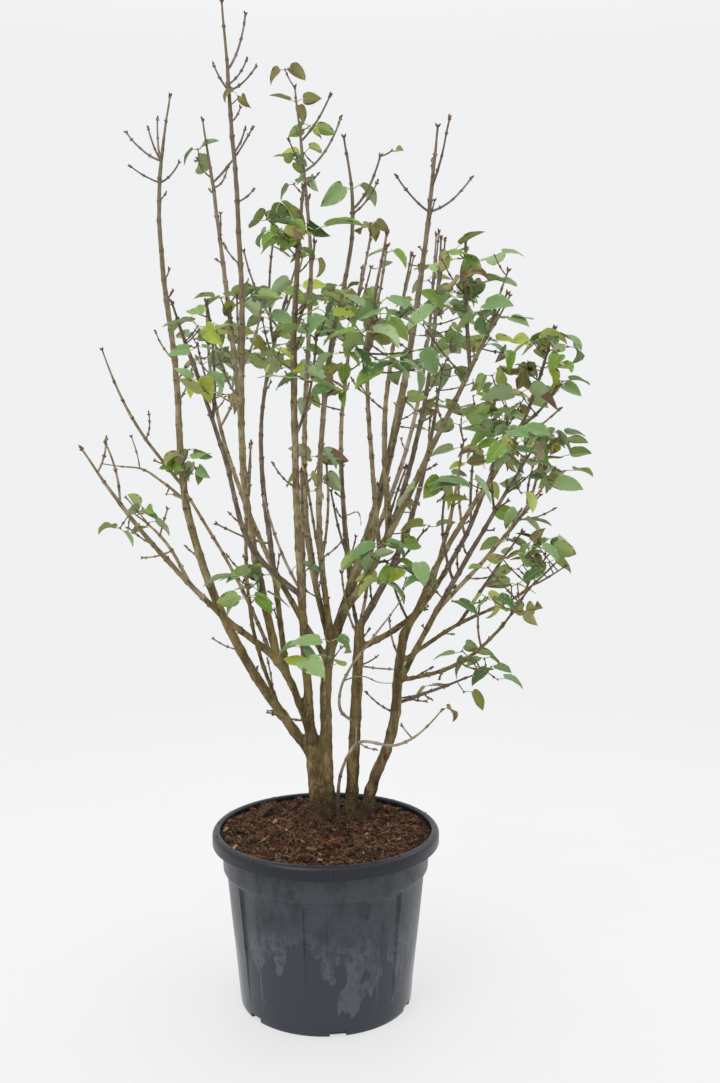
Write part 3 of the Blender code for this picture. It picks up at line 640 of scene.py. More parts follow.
FILLING_REACH = (0.35, 0.8)
FILLING_LEAVES = (2, 5)

# How many sprays each mass gets beyond those in its list

FILLING_USUAL = 3
FILLING = {
    "top_left_leaves": 0, "top_centre_leaves": 0, "single_leaves": 0, "low_left_leaves": 1, "left_leaves": 1,
    "right_top_leaves": 1, "upper_left_leaves": 2, "centre_front_leaves": 2, "rear_left_leaves": 4,
    "rear_right_leaves": 4, "outer_right_leaves": 4, "far_right_leaves": 4, "middle_low_leaves": 4,
    "centre_back_leaves": 5, "back_leaves": 5, "rear_top_right_leaves": 5, "front_right_leaves": 5,
}

# Colours of the plant


class Tint(NamedTuple):
    """A leaf's colours above and below, the shares browned and crumpled, and the tints found beside it."""

    name: str
    upper: tuple
    under: tuple
    browned: float
    crumpled: float
    beside: tuple


TINTS = {
    "blue": Tint("blue_green", (0.140, 0.250, 0.080), (0.27, 0.36, 0.17), 0.10, 0.03,
                ("green", "deep", "sage")),
    "green": Tint("green", (0.145, 0.248, 0.024), (0.27, 0.36, 0.11), 0.15, 0.06,
                 ("blue", "lime", "deep", "sage")),
    # The deep tint is a darker leaf green and partly painted shade: its dark leaves stand in for the shade
    # inside the crown.
    "deep": Tint("deep_green", (0.050, 0.110, 0.022), (0.20, 0.28, 0.10), 0.12, 0.05,
                ("blue", "green")),
    "sage": Tint("sage", (0.225, 0.345, 0.125), (0.32, 0.41, 0.21), 0.15, 0.04,
                ("blue", "green")),
    "lime": Tint("yellow_green", (0.330, 0.390, 0.040), (0.40, 0.45, 0.12), 0.20, 0.10,
                ("green", "sage")),
    "olive": Tint("olive", (0.195, 0.200, 0.030), (0.27, 0.28, 0.09), 0.35, 0.30,
                 ("rusty", "green")),
    "rusty": Tint("rusty", (0.170, 0.150, 0.036), (0.25, 0.22, 0.08), 0.50, 0.50,
                 ("olive", "green")),
}
BROWN_LEAF = (0.165, 0.098, 0.048)
BARKS = {
    "olive": ((0.085, 0.062, 0.027), (0.230, 0.180, 0.084), (0.37, 0.31, 0.18)),
    "tan": ((0.105, 0.074, 0.040), (0.255, 0.198, 0.108), (0.39, 0.33, 0.21)),
    "dark": ((0.060, 0.043, 0.030), (0.145, 0.105, 0.072), (0.25, 0.20, 0.15)),
    "pale": ((0.140, 0.106, 0.076), (0.325, 0.262, 0.190), (0.46, 0.40, 0.32)),
}
TRUNK_BARK = ((0.040, 0.024, 0.011), (0.170, 0.106, 0.044), (0.330, 0.225, 0.110))
OLIVE_BARK = (0.215, 0.175, 0.062)
OLIVE_HEIGHTS = (0.46, 0.70)
ALGAE = (0.085, 0.120, 0.035)
ALGAE_HEIGHTS = (0.42, 0.78)
SOIL_STAIN = (0.040, 0.023, 0.013)
YOUNG_BARK = (0.135, 0.108, 0.084)
YOUNG_HEIGHTS = (1.20, 1.75)
STAIN_REACH = 0.17
TRUNK_STAIN_REACH = 0.10
LENTICEL = (0.33, 0.28, 0.19)
TWIG_BARK = ((0.055, 0.035, 0.020), (0.160, 0.110, 0.055))
BUD_SCALES = ((0.060, 0.030, 0.018), (0.190, 0.105, 0.060))
LEAF_STALK = (0.36, 0.40, 0.17)

# The compost

CHIPS = 5200
CHIP_WIDTH = 0.0014
CHIP_SPREAD = 0.55
CHIP_TILT = 0.35
CHIP_EDGE = 0.004
CHIP_LENGTHS = (1.2, 3.0)
CHIP_HEIGHTS = (0.25, 0.6)
CHIP_DAMAGE = (-0.45, 0.15)
RIM_CRUMBS = 70
RIM_CRUMB_WIDTHS = (0.0004, 0.0011)
RIM_CRUMB_SHAPE = (1.6, 1.0, 0.45)
RIM_CRUMB_PLACES = (0.35, 0.95)
RIM_CRUMB_RISE = 0.0004
RIM_CRUMB_TILT = 0.05
FIBRES = 2800
FIBRE_POINTS = 6
FIBRE_LENGTHS = (0.008, 0.032)
FIBRE_RADII = (0.00035, 0.00075)
FIBRE_RISE = 0.008
FIBRE_CURL = 0.60
FIBRE_CLEAR = 0.0012
FIBRE_EDGE = 0.02
FIBRE_WALL_GAP = 0.003
FIBRE_TAPER = 0.4
FIBRE_KINDS = (0.42, 0.26, 0.32)
CHIP_KINDS = (0.40, 0.34, 0.18, 0.0785, 0.0015)
COMPOST_KINDS = [
    ("dark", (0.009, 0.005, 0.003), (0.045, 0.022, 0.012)),
    ("red_brown", (0.070, 0.026, 0.012), (0.215, 0.084, 0.036)),
    ("brown", (0.035, 0.020, 0.011), (0.110, 0.060, 0.032)),
    ("tan", (0.170, 0.104, 0.052), (0.400, 0.265, 0.145)),
    ("pale_crumb", (0.45, 0.43, 0.38), (0.72, 0.70, 0.65)),
]

# Colours of the pot

POT_DARK = (0.008, 0.010, 0.015)
POT_DUSTY = (0.072, 0.080, 0.096)
POT_SCUFF = (0.085, 0.092, 0.106)
POT_WET = (0.030, 0.036, 0.048)

# The studio

FLOOR_REACH = 3.0
FLOOR_FADE = 0.9
FLOOR_COLOUR = (0.24, 0.24, 0.24)
FLOOR_SHADE = (0.22, 0.22, 0.22)
FLOOR_GLOW = 0.585
WORLD_COLOUR = (0.985, 0.99, 1.0)
WORLD_STRENGTH = 0.885
SKY_STRENGTH = 1.42
SKY_RISES = (0.30, 0.90)
LIT_POINT = (0.05, 0.0, 1.0)
LIGHTS = [
    ("key_light", (-2.2, -3.0, 4.2), 3.0, 70.0),
    ("fill_light", (3.0, 1.5, 3.5), 3.0, 25.0),
]


def seeded(name):
    """Random numbers of one thing's own, the same on each run."""
    return np.random.default_rng(list(name.encode()))


def unit(vectors):
    """Vectors made one long."""
    vectors = np.asarray(vectors, dtype=float)
    return vectors / np.maximum(np.linalg.norm(vectors, axis=-1, keepdims=True), 1e-12)


def square_to(vector, axis):
    """The part of a vector that's at right angles to an axis, one long."""
    axis = unit(axis)
    return unit(vector - axis * np.dot(vector, axis))


def bell(distance, width):
    """A smooth hump of height one round zero."""
    return np.exp(-((distance / width) ** 2))


def smooth_step(value, start, end):
    """From zero at start to one at end, without a corner."""
    t = np.clip((value - start) / (end - start), 0.0, 1.0)
    return t * t * (3 - 2 * t)


def cell_value(cells, seed):
    """A number from 0 to 1 for each whole-numbered cell, the same for the same cell."""
    x, y, z = (cells[..., i] for i in range(3))
    value = (x * 73856093) ^ (y * 19349663) ^ (z * 83492791) ^ (seed * 40503)
    value = ((value & 0xFFFFFFFF) ^ ((value & 0xFFFFFFFF) >> 15)) * 2246822519 & 0xFFFFFFFF
    return ((value ^ (value >> 13)) & 0xFFFF) / 0xFFFF


def soft_noise(points, size, seed):
    """Smooth noise from -1 to 1 at each point. size is the width of its lumps, or one width for each axis."""
    scaled = np.asarray(points) / size
    cell = np.floor(scaled).astype(np.int64)
    share = scaled - cell
    share = share * share * (3 - 2 * share)
    total = np.zeros(scaled.shape[:-1])
    for corner in itertools.product((0, 1), repeat=3):
        weight = np.prod(np.where(corner, share, 1 - share), axis=-1)
        total += weight * cell_value(cell + np.array(corner), seed)
    return 2 * total - 1


def relief(points, kind, seed):
    """Lumps of one kind at each point. A kind is the size of its lumps and their height."""
    size, height = kind
    return soft_noise(points, np.array(size), seed) * height


# Gathering meshes


class Piece:
    """One joined mesh while it's put together. grain is where a point lies in the bark's own pattern."""

    def __init__(self, name):
        self.name = name
        self.points, self.grain, self.faces, self.slots = [], [], [], []
        self.count = 0

    def add(self, points, faces, slot=0, grain=None):
        """Add points, and faces that count from the first of them. slot is one number, or one a face."""
        points = np.asarray(points, dtype=float).reshape(-1, 3)
        self.points.append(points)
        self.grain.append(points if grain is None else np.asarray(grain).reshape(-1, 3))
        for group in faces if isinstance(faces, list) else [faces]:
            self.faces.append(np.asarray(group) + self.count)
            self.slots.append(np.full(len(group), slot) if np.isscalar(slot) else slot[: len(group)])
            slot = slot if np.isscalar(slot) else slot[len(group):]
        self.count += len(points)

    def build(self, materials, slot, replaced=(), sharp=None, grain=False):
        """Make the object, give it its materials, and tie it to the plant."""
        mesh = bpy.data.meshes.new(self.name)
        points = np.concatenate(self.points)
        corners = np.concatenate([group.ravel() for group in self.faces])
        sizes = np.concatenate([np.full(len(group), group.shape[1]) for group in self.faces])
        mesh.vertices.add(len(points))
        mesh.vertices.foreach_set("co", points.ravel())
        mesh.loops.add(len(corners))
        mesh.loops.foreach_set("vertex_index", corners.astype(np.int32))
        mesh.polygons.add(len(sizes))
        mesh.polygons.foreach_set("loop_start", (np.cumsum(sizes) - sizes).astype(np.int32))
        mesh.polygons.foreach_set("material_index", np.concatenate(self.slots).astype(np.int32))
        mesh.update(calc_edges=True)
        mesh.validate()
        mesh.shade_smooth()
        if sharp is not None:
            mesh.set_sharp_from_angle(angle=math.radians(sharp))
        if grain:
            layer = mesh.attributes.new("grain", "FLOAT_VECTOR", "POINT")
            layer.data.foreach_set("vector", np.concatenate(self.grain).ravel())
        thing = placed(self.name, mesh)
        for material in materials:
            mesh.materials.append(material)
        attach(thing, "root")
        if replaced:
            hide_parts(*replaced)
        return thing


def placed(name, data):
    """A new object in the scene."""
    thing = bpy.data.objects.new(name, data)
    bpy.context.scene.collection.objects.link(thing)
    return thing


def frames(path):
    """Along a path: which way it runs, and two directions across it that don't twist."""
    along = unit(np.gradient(path, axis=0))
    start = UP if abs(along[0] @ UP) < 0.9 else np.array([1.0, 0.0, 0.0])
    across = np.empty_like(path)
    side = square_to(start, along[0])
    for i, direction in enumerate(along):
        side = square_to(side, direction)
        across[i] = side
    return along, across, np.cross(along, across)


def grid_faces(rows, columns):
    """Four-cornered faces of a grid of points that closes round from its last column to its first."""
    row, column = np.indices((rows - 1, columns))
    following = (column + 1) % columns
    corners = [row * columns + column, row * columns + following,
               (row + 1) * columns + following, (row + 1) * columns + column]
    return np.stack(corners, axis=-1).reshape(-1, 4)


def cap_faces(ring, tip, inward):
    """Three-cornered faces from a ring of points to one point that closes its end."""
    following = np.roll(ring, -1)
    order = (following, ring) if inward else (ring, following)
    return np.stack([*order, np.full(len(ring), tip)], axis=-1)


def shell_faces(rings, sides, flipped=False):
    """The faces of a shell of rings. The two points that close its ends come last. flipped turns it over."""
    count = rings * sides
    first, last = np.arange(sides), np.arange(count - sides, count)
    grid = grid_faces(rings, sides)
    return [grid[:, ::-1] if flipped else grid,
            cap_faces(first, count, not flipped),
            cap_faces(last, count + 1, flipped)]


def turned(radii, heights, angles):
    """Points by radius, height and angle round an upright line."""
    across, away = radii * np.cos(angles), radii * np.sin(angles)
    return np.stack(np.broadcast_arrays(across, away, heights), axis=-1)


def add_tube(piece, path, radii, sides, slot=0, seed=0.0):
    """Add a closed tube round a path. radii has one number for each ring, or one for each ring and side."""
    along, across, upward = frames(path)
    angles = np.arange(sides) * TURN / sides
    outward = across[:, None] * np.cos(angles)[:, None] + upward[:, None] * np.sin(angles)[:, None]
    radii = np.asarray(radii, dtype=float)
    wide = np.broadcast_to(radii[:, None] if radii.ndim == 1 else radii, (len(path), sides))
    rings = path[:, None] + outward * wide[..., None]
    ends = [path[0] - along[0] * wide[0].mean() * 0.4, path[-1] + along[-1] * wide[-1].mean() * 0.4]
    run = np.concatenate([[0.0], np.cumsum(np.linalg.norm(np.diff(path, axis=0), axis=1))])
    grain = turned(wide, run[:, None] + seed, angles).reshape(-1, 3)
    points = np.concatenate([rings.reshape(-1, 3), ends])
    piece.add(points, shell_faces(len(path), sides), slot, np.concatenate([grain, grain[:1], grain[-1:]]))


# Middle lines


def smooth_path(points, count):
    """Evenly spaced points on one smooth curve through the given ones, as a Hermite spline by length."""
    points = np.array(points, dtype=float)
    lengths = np.linalg.norm(np.diff(points, axis=0), axis=1)
    at = np.concatenate([[0.0], np.cumsum(lengths)])
    slopes = np.diff(points, axis=0) / lengths[:, None]
    tangents = np.zeros_like(points)
    for i in range(1, len(points) - 1):
        before, after = lengths[i - 1], lengths[i]
        tangents[i] = (slopes[i - 1] * after + slopes[i] * before) / (before + after)
    if len(points) > 2:
        tangents[0] = 1.5 * slopes[0] - 0.5 * tangents[1]
        tangents[-1] = 1.5 * slopes[-1] - 0.5 * tangents[-2]
    else:
        tangents[:] = slopes[0]
    path = []
    for place in np.linspace(0.0, at[-1], count):
        i = min(int(np.searchsorted(at, place, side="right")) - 1, len(points) - 2)
        h = lengths[i]
        t = (place - at[i]) / h
        path.append(
            (2 * t**3 - 3 * t**2 + 1) * points[i]
            + (t**3 - 2 * t**2 + t) * h * tangents[i]
            + (3 * t**2 - 2 * t**3) * points[i + 1]
            + (t**3 - t**2) * h * tangents[i + 1]
        )
    return np.array(path)


def stepped_path(points):
    """A smooth path through points with its own points about one step apart."""
    length = np.linalg.norm(np.diff(np.array(points, dtype=float), axis=0), axis=1).sum()
    return smooth_path(points, max(round(length / PATH_STEP), 4) + 1)


def leaving_path(foot, parent_runs, tip):
    """A path that leaves a parent at a wide angle, and then bends up to its tip."""
    foot, tip = np.asarray(foot), np.asarray(tip)
    reach = np.linalg.norm(tip - foot)
    straight = (tip - foot) / reach
    outward = straight - parent_runs * (straight @ parent_runs)
    first = unit(straight + LEAVING_SPREAD * outward - LEAVING_SAG * UP)
    bend = foot + first * reach * LEAVING_BEND
    t = np.linspace(0.0, 1.0, max(round(reach / PATH_STEP), 5) + 1)[:, None]
    return (1 - t) ** 2 * foot + 2 * t * (1 - t) * bend + t**2 * tip


class Stem:
    """A limb, shoot or twig as it grows: its middle line, its radius along it, and its nodes."""

    def __init__(self, name, path, radius, tip_radius, bark, node_gap):
        rng = seeded(name)
        self.name, self.bark = name, bark
        steps = np.linalg.norm(np.diff(path, axis=0), axis=1)
        self.run = np.concatenate([[0.0], np.cumsum(steps)])
        self.length = self.run[-1]
        self.radii = radius + (tip_radius - radius) * self.run / self.length
        gaps = rng.uniform(*NODE_GAP_SPREAD, int(self.length / node_gap * 1.5) + 2) * node_gap
        places = np.cumsum(gaps)
        self.nodes = places[places < self.length - NO_NODE_AT_TIP * node_gap]
        self.node_turn = rng.uniform(0, TURN)
        self.path = path + self.wander(rng, node_gap)
        self.along, self.across, self.upward = frames(self.path)

    def wander(self, rng, node_gap):
        """A growing stem swings a little from node to node, and holds still at both ends."""
        places = np.concatenate([[0.0], self.nodes, [self.length]])
        swing = [np.interp(self.run, places, rng.normal(0.0, 1.0, len(places))) for _ in range(3)]
        hold = smooth_step(self.run, 0.0, HELD_AT_FOOT)
        hold = hold * smooth_step(self.length - self.run, 0.0, HELD_AT_TIP)
        return np.stack(swing, axis=-1) * (WANDER * node_gap * hold)[:, None]

    def at(self, place):
        """The point, the way it runs, the radius and the two directions across, at a length along it."""
        i = int(np.argmin(np.abs(self.run - place)))
        return self.path[i], self.along[i], self.radii[i], self.across[i], self.upward[i]

    def at_height(self, height):
        """The length along it where it first comes up to a height."""
        highest = self.path[:, 2].max() - UNDER_TOP
        return self.run[int(np.argmax(self.path[:, 2] >= min(height, highest)))]


def limb_stems():
    """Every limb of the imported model, on the same middle lines, and the side limbs."""
    coarse, stems = {}, {}
    for limb in LIMBS + SIDE_LIMBS:
        if limb.grows_from is None:
            foot = np.array([*limb.foot, SOIL_TOP - BURIED])
        else:
            parent = coarse[limb.grows_from]
            after = int(np.argmax(parent[:, 2] >= limb.foot))
            low, high = parent[after - 1], parent[after]
            foot = low + (high - low) * (limb.foot - low[2]) / (high[2] - low[2])
        through = [foot, *limb.bends, limb.tip]
        coarse[limb.name] = smooth_path(through, COARSE_POINTS)
        stem = Stem(limb.name, stepped_path(through), limb.radius, limb.tip_radius, limb.bark, NODE_GAP)
        if limb.grows_from is None:
            stem.radii *= 1.0 + FLARE * np.exp(-np.maximum(stem.path[:, 2] - SOIL_TOP, 0.0) / FLARE_HEIGHT)
        else:
            stem.radii *= 1.0 + FORK_SWELLING * np.exp(-stem.run / (FORK_SWELLING_REACH * limb.radius))
        if limb.name not in BLUNT_STEMS:
            stem.radii *= 1.0 - TIP_TAPER * smooth_step(stem.run, stem.length - TIP_REACH, stem.length)
        stems[limb.name] = stem
    return stems


def shoot_stems(stems):
    """The bare shoots, each on the limb that carries it."""
    made = {}
    for parent_name, rows in SHOOTS.items():
        parent = stems[parent_name]
        for number, row in enumerate(rows, 1):
            shoot = Shoot(*row)
            foot, runs, parent_radius, _, _ = parent.at(parent.at_height(shoot.foot))
            path = leaving_path(foot, runs, shoot.tip)
            length = np.linalg.norm(np.array(shoot.tip) - foot)
            radius = min(SHOOT_RADIUS + SHOOT_THICKENS * length, MOST_OF_PARENT * parent_radius)
            name = f"{parent_name}_shoot_{number}"
            tip_radius = max(SHOOT_TAPER * radius, SHOOT_TIP)
            made[name] = Stem(name, path, radius, tip_radius, shoot.bark, SHOOT_NODE_GAP)
    return made


def spur_stems(stems):
    """Short bare spurs that stand at some of the nodes of the older limbs."""
    made = []
    for stem in stems.values():
        rng = seeded(stem.name + "_spurs")
        for number, node in enumerate(stem.nodes):
            point, runs, radius, across, upward = stem.at(node)
            turn = stem.node_turn + number * TURN / 4
            if rng.random() > SPUR_SHARE or radius < SPUR_LEAST_RADIUS or point[2] < SPUR_LEAST_HEIGHT:
                continue
            outward = across * math.cos(turn) + upward * math.sin(turn)
            length = SPUR_SHORTEST + SPUR_MOST_GAIN * rng.random() ** 2
            tip = point + unit(outward + rng.uniform(*SPUR_LEAN) * runs) * (length + radius)
            path = leaving_path(point, runs, tip)
            made.append(Stem(f"{stem.name}_spur_{number}", path, *SPUR_RADII, stem.bark, SPUR_NODE_GAP))
    return made


# Bark


def knobbly_radii(stem, sides, first=0, last=None):
    """A stem's radius by ring and side: swollen at its nodes, ridged lengthwise, and a little lumpy."""
    run, radii = stem.run[first:last], stem.radii[first:last]
    swelling = np.zeros_like(run)
    for node in stem.nodes:
        swelling += bell(run - node, NODE_LENGTH[0] + NODE_LENGTH[1] * radii)
    least, more_if_thin = NODE_SWELLING
    swelling *= least + more_if_thin / radii
    angles = np.arange(sides) * TURN / sides
    seed = sum(stem.name.encode())
    around = turned(radii[:, None], run[:, None], angles)
    uneven = relief(around, RIDGES, seed) + relief(around, KNOBS, seed + 1)
    uneven *= np.minimum(radii[:, None] / KNOB_FULL_RADIUS, KNOB_MOST)
    return radii[:, None] * (1.0 + swelling[:, None]) + uneven


def leaf_scars(stem, sides, first):
    """Which faces of a stem's tube an old leaf scar darkens: a broken ring of them at each node."""
    rng = seeded(stem.name + "_scars")
    middles = (stem.run[first + 1:] + stem.run[first:-1]) / 2
    scars = np.zeros((len(middles), sides), dtype=int)
    for node in stem.nodes[stem.nodes > middles[0]]:
        ring = int(np.argmin(np.abs(middles - node)))
        share = SCAR_SHARE * min(1.0, (SCAR_FULL_RADIUS / stem.radii[first + ring]) ** 2)
        scars[ring] = rng.random(sides) < share
    return np.concatenate([scars.ravel(), np.zeros(2 * sides, dtype=int)])


def add_stem(piece, stem, sides, first=0):
    """Add a stem's own tube, from one of its points to its tip, with a leaf scar at each node."""
    seed = sum(stem.name.encode()) * 0.37
    scars = leaf_scars(stem, sides, first)
    add_tube(piece, stem.path[first:], knobbly_radii(stem, sides, first), sides, scars, seed)


def add_bud(piece, foot, axis, length, width, sides=5):
    """Add one pointed bud."""
    path = foot + np.outer(BUD_STEPS * length, axis)
    add_tube(piece, path, BUD_SHAPE * width / 2, sides, seed=length * 50)


def add_side_buds(piece, stem):
    """Add the pairs of buds at a stem's nodes, each pair a quarter turn on from the last."""
    rng = seeded(stem.name + "_buds")
    for number, node in enumerate(stem.nodes):
        point, runs, radius, across, upward = stem.at(node)
        turn = stem.node_turn + number * TURN / 4
        for side in (1, -1):
            size = rng.uniform(*BUD_LENGTHS)
            if radius > BUD_MOST_RADIUS or rng.random() > BUD_SHARE:
                continue
            outward = (across * math.cos(turn) + upward * math.sin(turn)) * side
            axis = unit(0.9 * runs + 0.6 * outward)
            add_bud(piece, point + outward * radius, axis, size, size * BUD_WIDTH)


def add_end_buds(piece, stem):
    """Add the fat buds that end a stem: a forked pair, and a smaller pair below it on thicker wood."""
    rng = seeded(stem.name + "_end")
    turn = rng.uniform(0, TURN)
    size = np.clip(stem.radii[-1] / END_BUD_STEM, *END_BUD_SIZES)
    pairs = ((0, 1.0), (1, LOWER_PAIR)) if stem.radii[-1] > SHOOT_TIP else ((0, 1.0),)
    for back, share in pairs:
        point, runs, radius = stem.path[-1 - back], stem.along[-1], stem.radii[-1]
        outward = stem.across[-1] * math.cos(turn) + stem.upward[-1] * math.sin(turn)
        turn += TURN / 4
        for side in (1, -1):
            length = rng.uniform(*END_BUD_LENGTHS) * size * share
            foot = point + outward * side * radius * (0.45 + 0.4 * back)
            axis = unit(runs + outward * side * rng.uniform(*END_BUD_SPREAD))
            add_bud(piece, foot, axis, length, length * END_BUD_WIDTH, 6)


def trunk_ends(stems):
    """For each limb that starts in the fused foot of the bush: the point where its own tube takes over."""
    ends = {}
    for limb in LIMBS:
        stem = stems[limb.name]
        heights = stem.path[:, 2]
        if heights[0] > TRUNK_TOP - TRUNK_LEAST_REACH or limb.radius < TRUNK_LEAST_RADIUS:
            continue
        if heights[-1] > TRUNK_TOP:
            above = stem.run[int(np.argmax(heights >= TRUNK_TOP))]
            node = stem.nodes[int(np.argmin(np.abs(stem.nodes - above)))]
            ends[limb.name] = int(np.argmin(np.abs(stem.run - node)))
        else:
            highest_fork = max(fork.foot for fork in LIMBS if fork.grows_from == limb.name)
            ends[limb.name] = int(np.argmax(heights >= highest_fork + TRUNK_PAST_FORK))
    return ends


def fused_mesh(pieces):
    """Points and four-cornered faces of closed meshes grown into one skin."""
    source = placed("trunk_source", pieces)
    remesh = source.modifiers.new("fuse", "REMESH")
    remesh.mode = "VOXEL"
    remesh.voxel_size = TRUNK_VOXEL
    bpy.context.view_layer.update()
    graph = bpy.context.evaluated_depsgraph_get()
    mesh = source.evaluated_get(graph).to_mesh()
    points = np.empty(len(mesh.vertices) * 3)
    mesh.vertices.foreach_get("co", points)
    corners = np.empty(len(mesh.loops), np.int32)
    mesh.loops.foreach_get("vertex_index", corners)
    edges = np.empty(len(mesh.edges) * 2, np.int32)
    mesh.edges.foreach_get("vertices", edges)
    source.to_mesh_clear()
    bpy.data.objects.remove(source)
    return points.reshape(-1, 3), corners.reshape(-1, 4), edges.reshape(-1, 2)


def smoothed(points, edges):
    """Points drawn towards the middle of their neighbours, round after round."""
    degree = np.bincount(edges.ravel(), minlength=len(points))[:, None]
    for _ in range(TRUNK_SMOOTHING_ROUNDS):
        total = np.zeros_like(points)
        for axis in range(3):
            total[:, axis] = np.bincount(edges[:, 0], points[edges[:, 1], axis], len(points))
            total[:, axis] += np.bincount(edges[:, 1], points[edges[:, 0], axis], len(points))
        points = points + TRUNK_SMOOTHING * (total / degree - points)
    return points


def point_normals(points, faces):
    """The outward direction at every point of a mesh of four-cornered faces."""
    a, b, c, d = (points[faces[:, i]] for i in range(4))
    face_normals = np.cross(c - a, d - b)
    normals = np.zeros_like(points)
    for i in range(4):
        for axis in range(3):
            normals[:, axis] += np.bincount(faces[:, i], face_normals[:, axis], len(points))
    return unit(normals)


def build_trunk(stems, ends):
    """The foot of the bush as one skin: stems and forks grown together, with fissured bark."""
    raw = Piece("trunk_source")
    for name, end in ends.items():
        radii = knobbly_radii(stems[name], TRUNK_SIDES, 0, end + 1) + TRUNK_PADDING
        add_tube(raw, stems[name].path[: end + 1], radii, TRUNK_SIDES)
    mesh = bpy.data.meshes.new("trunk_source")
    points = np.concatenate(raw.points)
    mesh.from_pydata(points.tolist(), [], [face.tolist() for group in raw.faces for face in group])
    points, faces, edges = fused_mesh(mesh)
    points = smoothed(points, edges)
    normals = point_normals(points, faces)
    low = np.clip((TRUNK_TOP - points[:, 2]) / (TRUNK_TOP - SOIL_TOP), TRUNK_LEAST_RELIEF, 1.0)
    at_foot = np.exp(-np.abs(points[:, 2] - SOIL_TOP) / BUTTRESS_REACH)
    rise = relief(points, TRUNK_LUMPS, 4) + relief(points, BARK_SCALES, 5)
    rise = low * (rise - np.abs(relief(points, FISSURES, 3))) + at_foot * relief(points, BUTTRESSES, 6)
    trunk = Piece("bark_trunk")
    trunk.add(points + normals * rise[:, None], faces)
    return trunk


# Leaves. Their shape is in lengths of the leaf, row by row from the stalk, and its width is to each side.

LEAF_MARGIN = np.array([(0.10, -0.035), (0.23, -0.02), (0.325, 0.08), (0.365, 0.21), (0.365, 0.36),
                        (0.325, 0.52), (0.25, 0.67), (0.155, 0.81), (0.065, 0.92)])
LEAF_MIDRIB = np.array([0.0, 0.015, 0.05, 0.11, 0.22, 0.36, 0.51, 0.67, 0.83])
LEAF_SHARES = np.array([1.0, 0.66, 0.33, 0.0, 0.33, 0.66, 1.0])
LEAF_SIDES = np.array([-1, -1, -1, 0, 1, 1, 1])
LEAF_ROWS, LEAF_COLUMNS = len(LEAF_MARGIN), len(LEAF_SHARES)
LEAF_TIP = LEAF_ROWS * LEAF_COLUMNS
LEAF_THICKNESS = 0.01
LEAF_QUILT = 0.011
LEAF_QUILTED = 0.66
LEAF_HALF_WIDTH = 0.36
LEAF_WAVES = 1.6
LEAF_CUPPING = 0.35
LEAF_WIDTHS = (0.80, 1.04)
LEAF_DROOP = (14, 26)
LEAF_SWAY = 0.55
LEAF_DROOP_LIMITS = (-40, 75)
BROWN_STARTS = (4.2, 8.4)
BROWN_RAGGED = (-1.6, 1.2)
BROWN_MARGIN = 0.35
STALK_LENGTHS = (0.26, 0.40)
STALK_RADII = (0.00095, 0.00080)
STALK_POINTS = 5
STALK_SIDES = 4
STALK_END = 0.85
MIDRIB_RADII = (0.00085, 0.00038)

# How far a flat leaf and a crumpled one are folded and arched, how far they twist, and how wavy they are

FLAT_HABIT = ((8, 34), (6, 50), 16, (0.005, 0.025))
CRUMPLED_HABIT = ((25, 50), (40, 100), 45, (0.02, 0.045))


def leaf_faces():
    """The faces of one leaf, a thin closed lens: four-cornered ones above and below, then its tip's."""
    above = np.arange(LEAF_TIP).reshape(LEAF_ROWS, LEAF_COLUMNS)
    below = above.copy()
    inner = (LEAF_ROWS - 1, LEAF_COLUMNS - 2)
    below[1:, 1:-1] = LEAF_TIP + 1 + np.arange(math.prod(inner)).reshape(inner)
    quads, tips = [], []
    for side in (above, below):
        corners = [side[:-1, :-1], side[1:, :-1], side[1:, 1:], side[:-1, 1:]]
        quads.append(np.stack(corners, axis=-1).reshape(-1, 4))
        tips.append(np.stack([side[-1, :-1], np.full(LEAF_COLUMNS - 1, LEAF_TIP), side[-1, 1:]], axis=-1))
    return [np.concatenate([group[0], group[1][:, ::-1]]) for group in (quads, tips)]


LEAF_FACES = leaf_faces()

# The materials of a leaf's faces. Number 0 is its upper side.

UNDERSIDE, BROWNED = 1, 2


class LeafShape(NamedTuple):
    """How one leaf is bent: angles in radians, the wave as a share of its length."""

    fold: float
    arch: float
    twist: float
    wave: float
    phase: float
    width: float


def bent(shape, along, across, lift):
    """Places on a bent blade, in lengths of the leaf, from places on a flat one."""
    side = np.abs(across)
    wave = np.sin(TURN * (LEAF_WAVES * along + shape.phase) + np.sign(across)) * (side / LEAF_HALF_WIDTH) ** 2
    height = side * math.sin(shape.fold) - LEAF_CUPPING * side**2 + shape.wave * wave + lift
    across = across * math.cos(shape.fold) * shape.width
    turn = shape.twist * along
    cos, sin = np.cos(turn), np.sin(turn)
    across, height = across * cos - height * sin, across * sin + height * cos
    angle = shape.arch * along
    reach = np.sin(angle) / shape.arch
    drop = (1 - np.cos(angle)) / shape.arch
    return np.stack([reach + np.sin(angle) * height, across, np.cos(angle) * height - drop], axis=-1)


def blade_points(shape):
    """The points of one blade: above, the tip, then the inner ones below, and its midrib."""
    margin_width, margin_along = LEAF_MARGIN[:, :1], LEAF_MARGIN[:, 1:]
    across = LEAF_SIDES * LEAF_SHARES * margin_width
    along = LEAF_MIDRIB[:, None] + (margin_along - LEAF_MIDRIB[:, None]) * LEAF_SHARES
    quilt = np.where(LEAF_SHARES == LEAF_QUILTED, LEAF_QUILT, 0.0)
    quilt = quilt * np.where(np.arange(LEAF_ROWS) % 2, 1.0, -1.0)[:, None]
    above = bent(shape, along, across, quilt)
    below = bent(shape, along, across, quilt - LEAF_THICKNESS)
    tip = bent(shape, np.array([1.0]), np.array([0.0]), 0.0)
    points = np.concatenate([above.reshape(-1, 3), tip, below[1:, 1:-1].reshape(-1, 3)])
    midrib = np.concatenate([(above[:, LEAF_COLUMNS // 2] + below[:, LEAF_COLUMNS // 2]) / 2, tip])
    return points, midrib


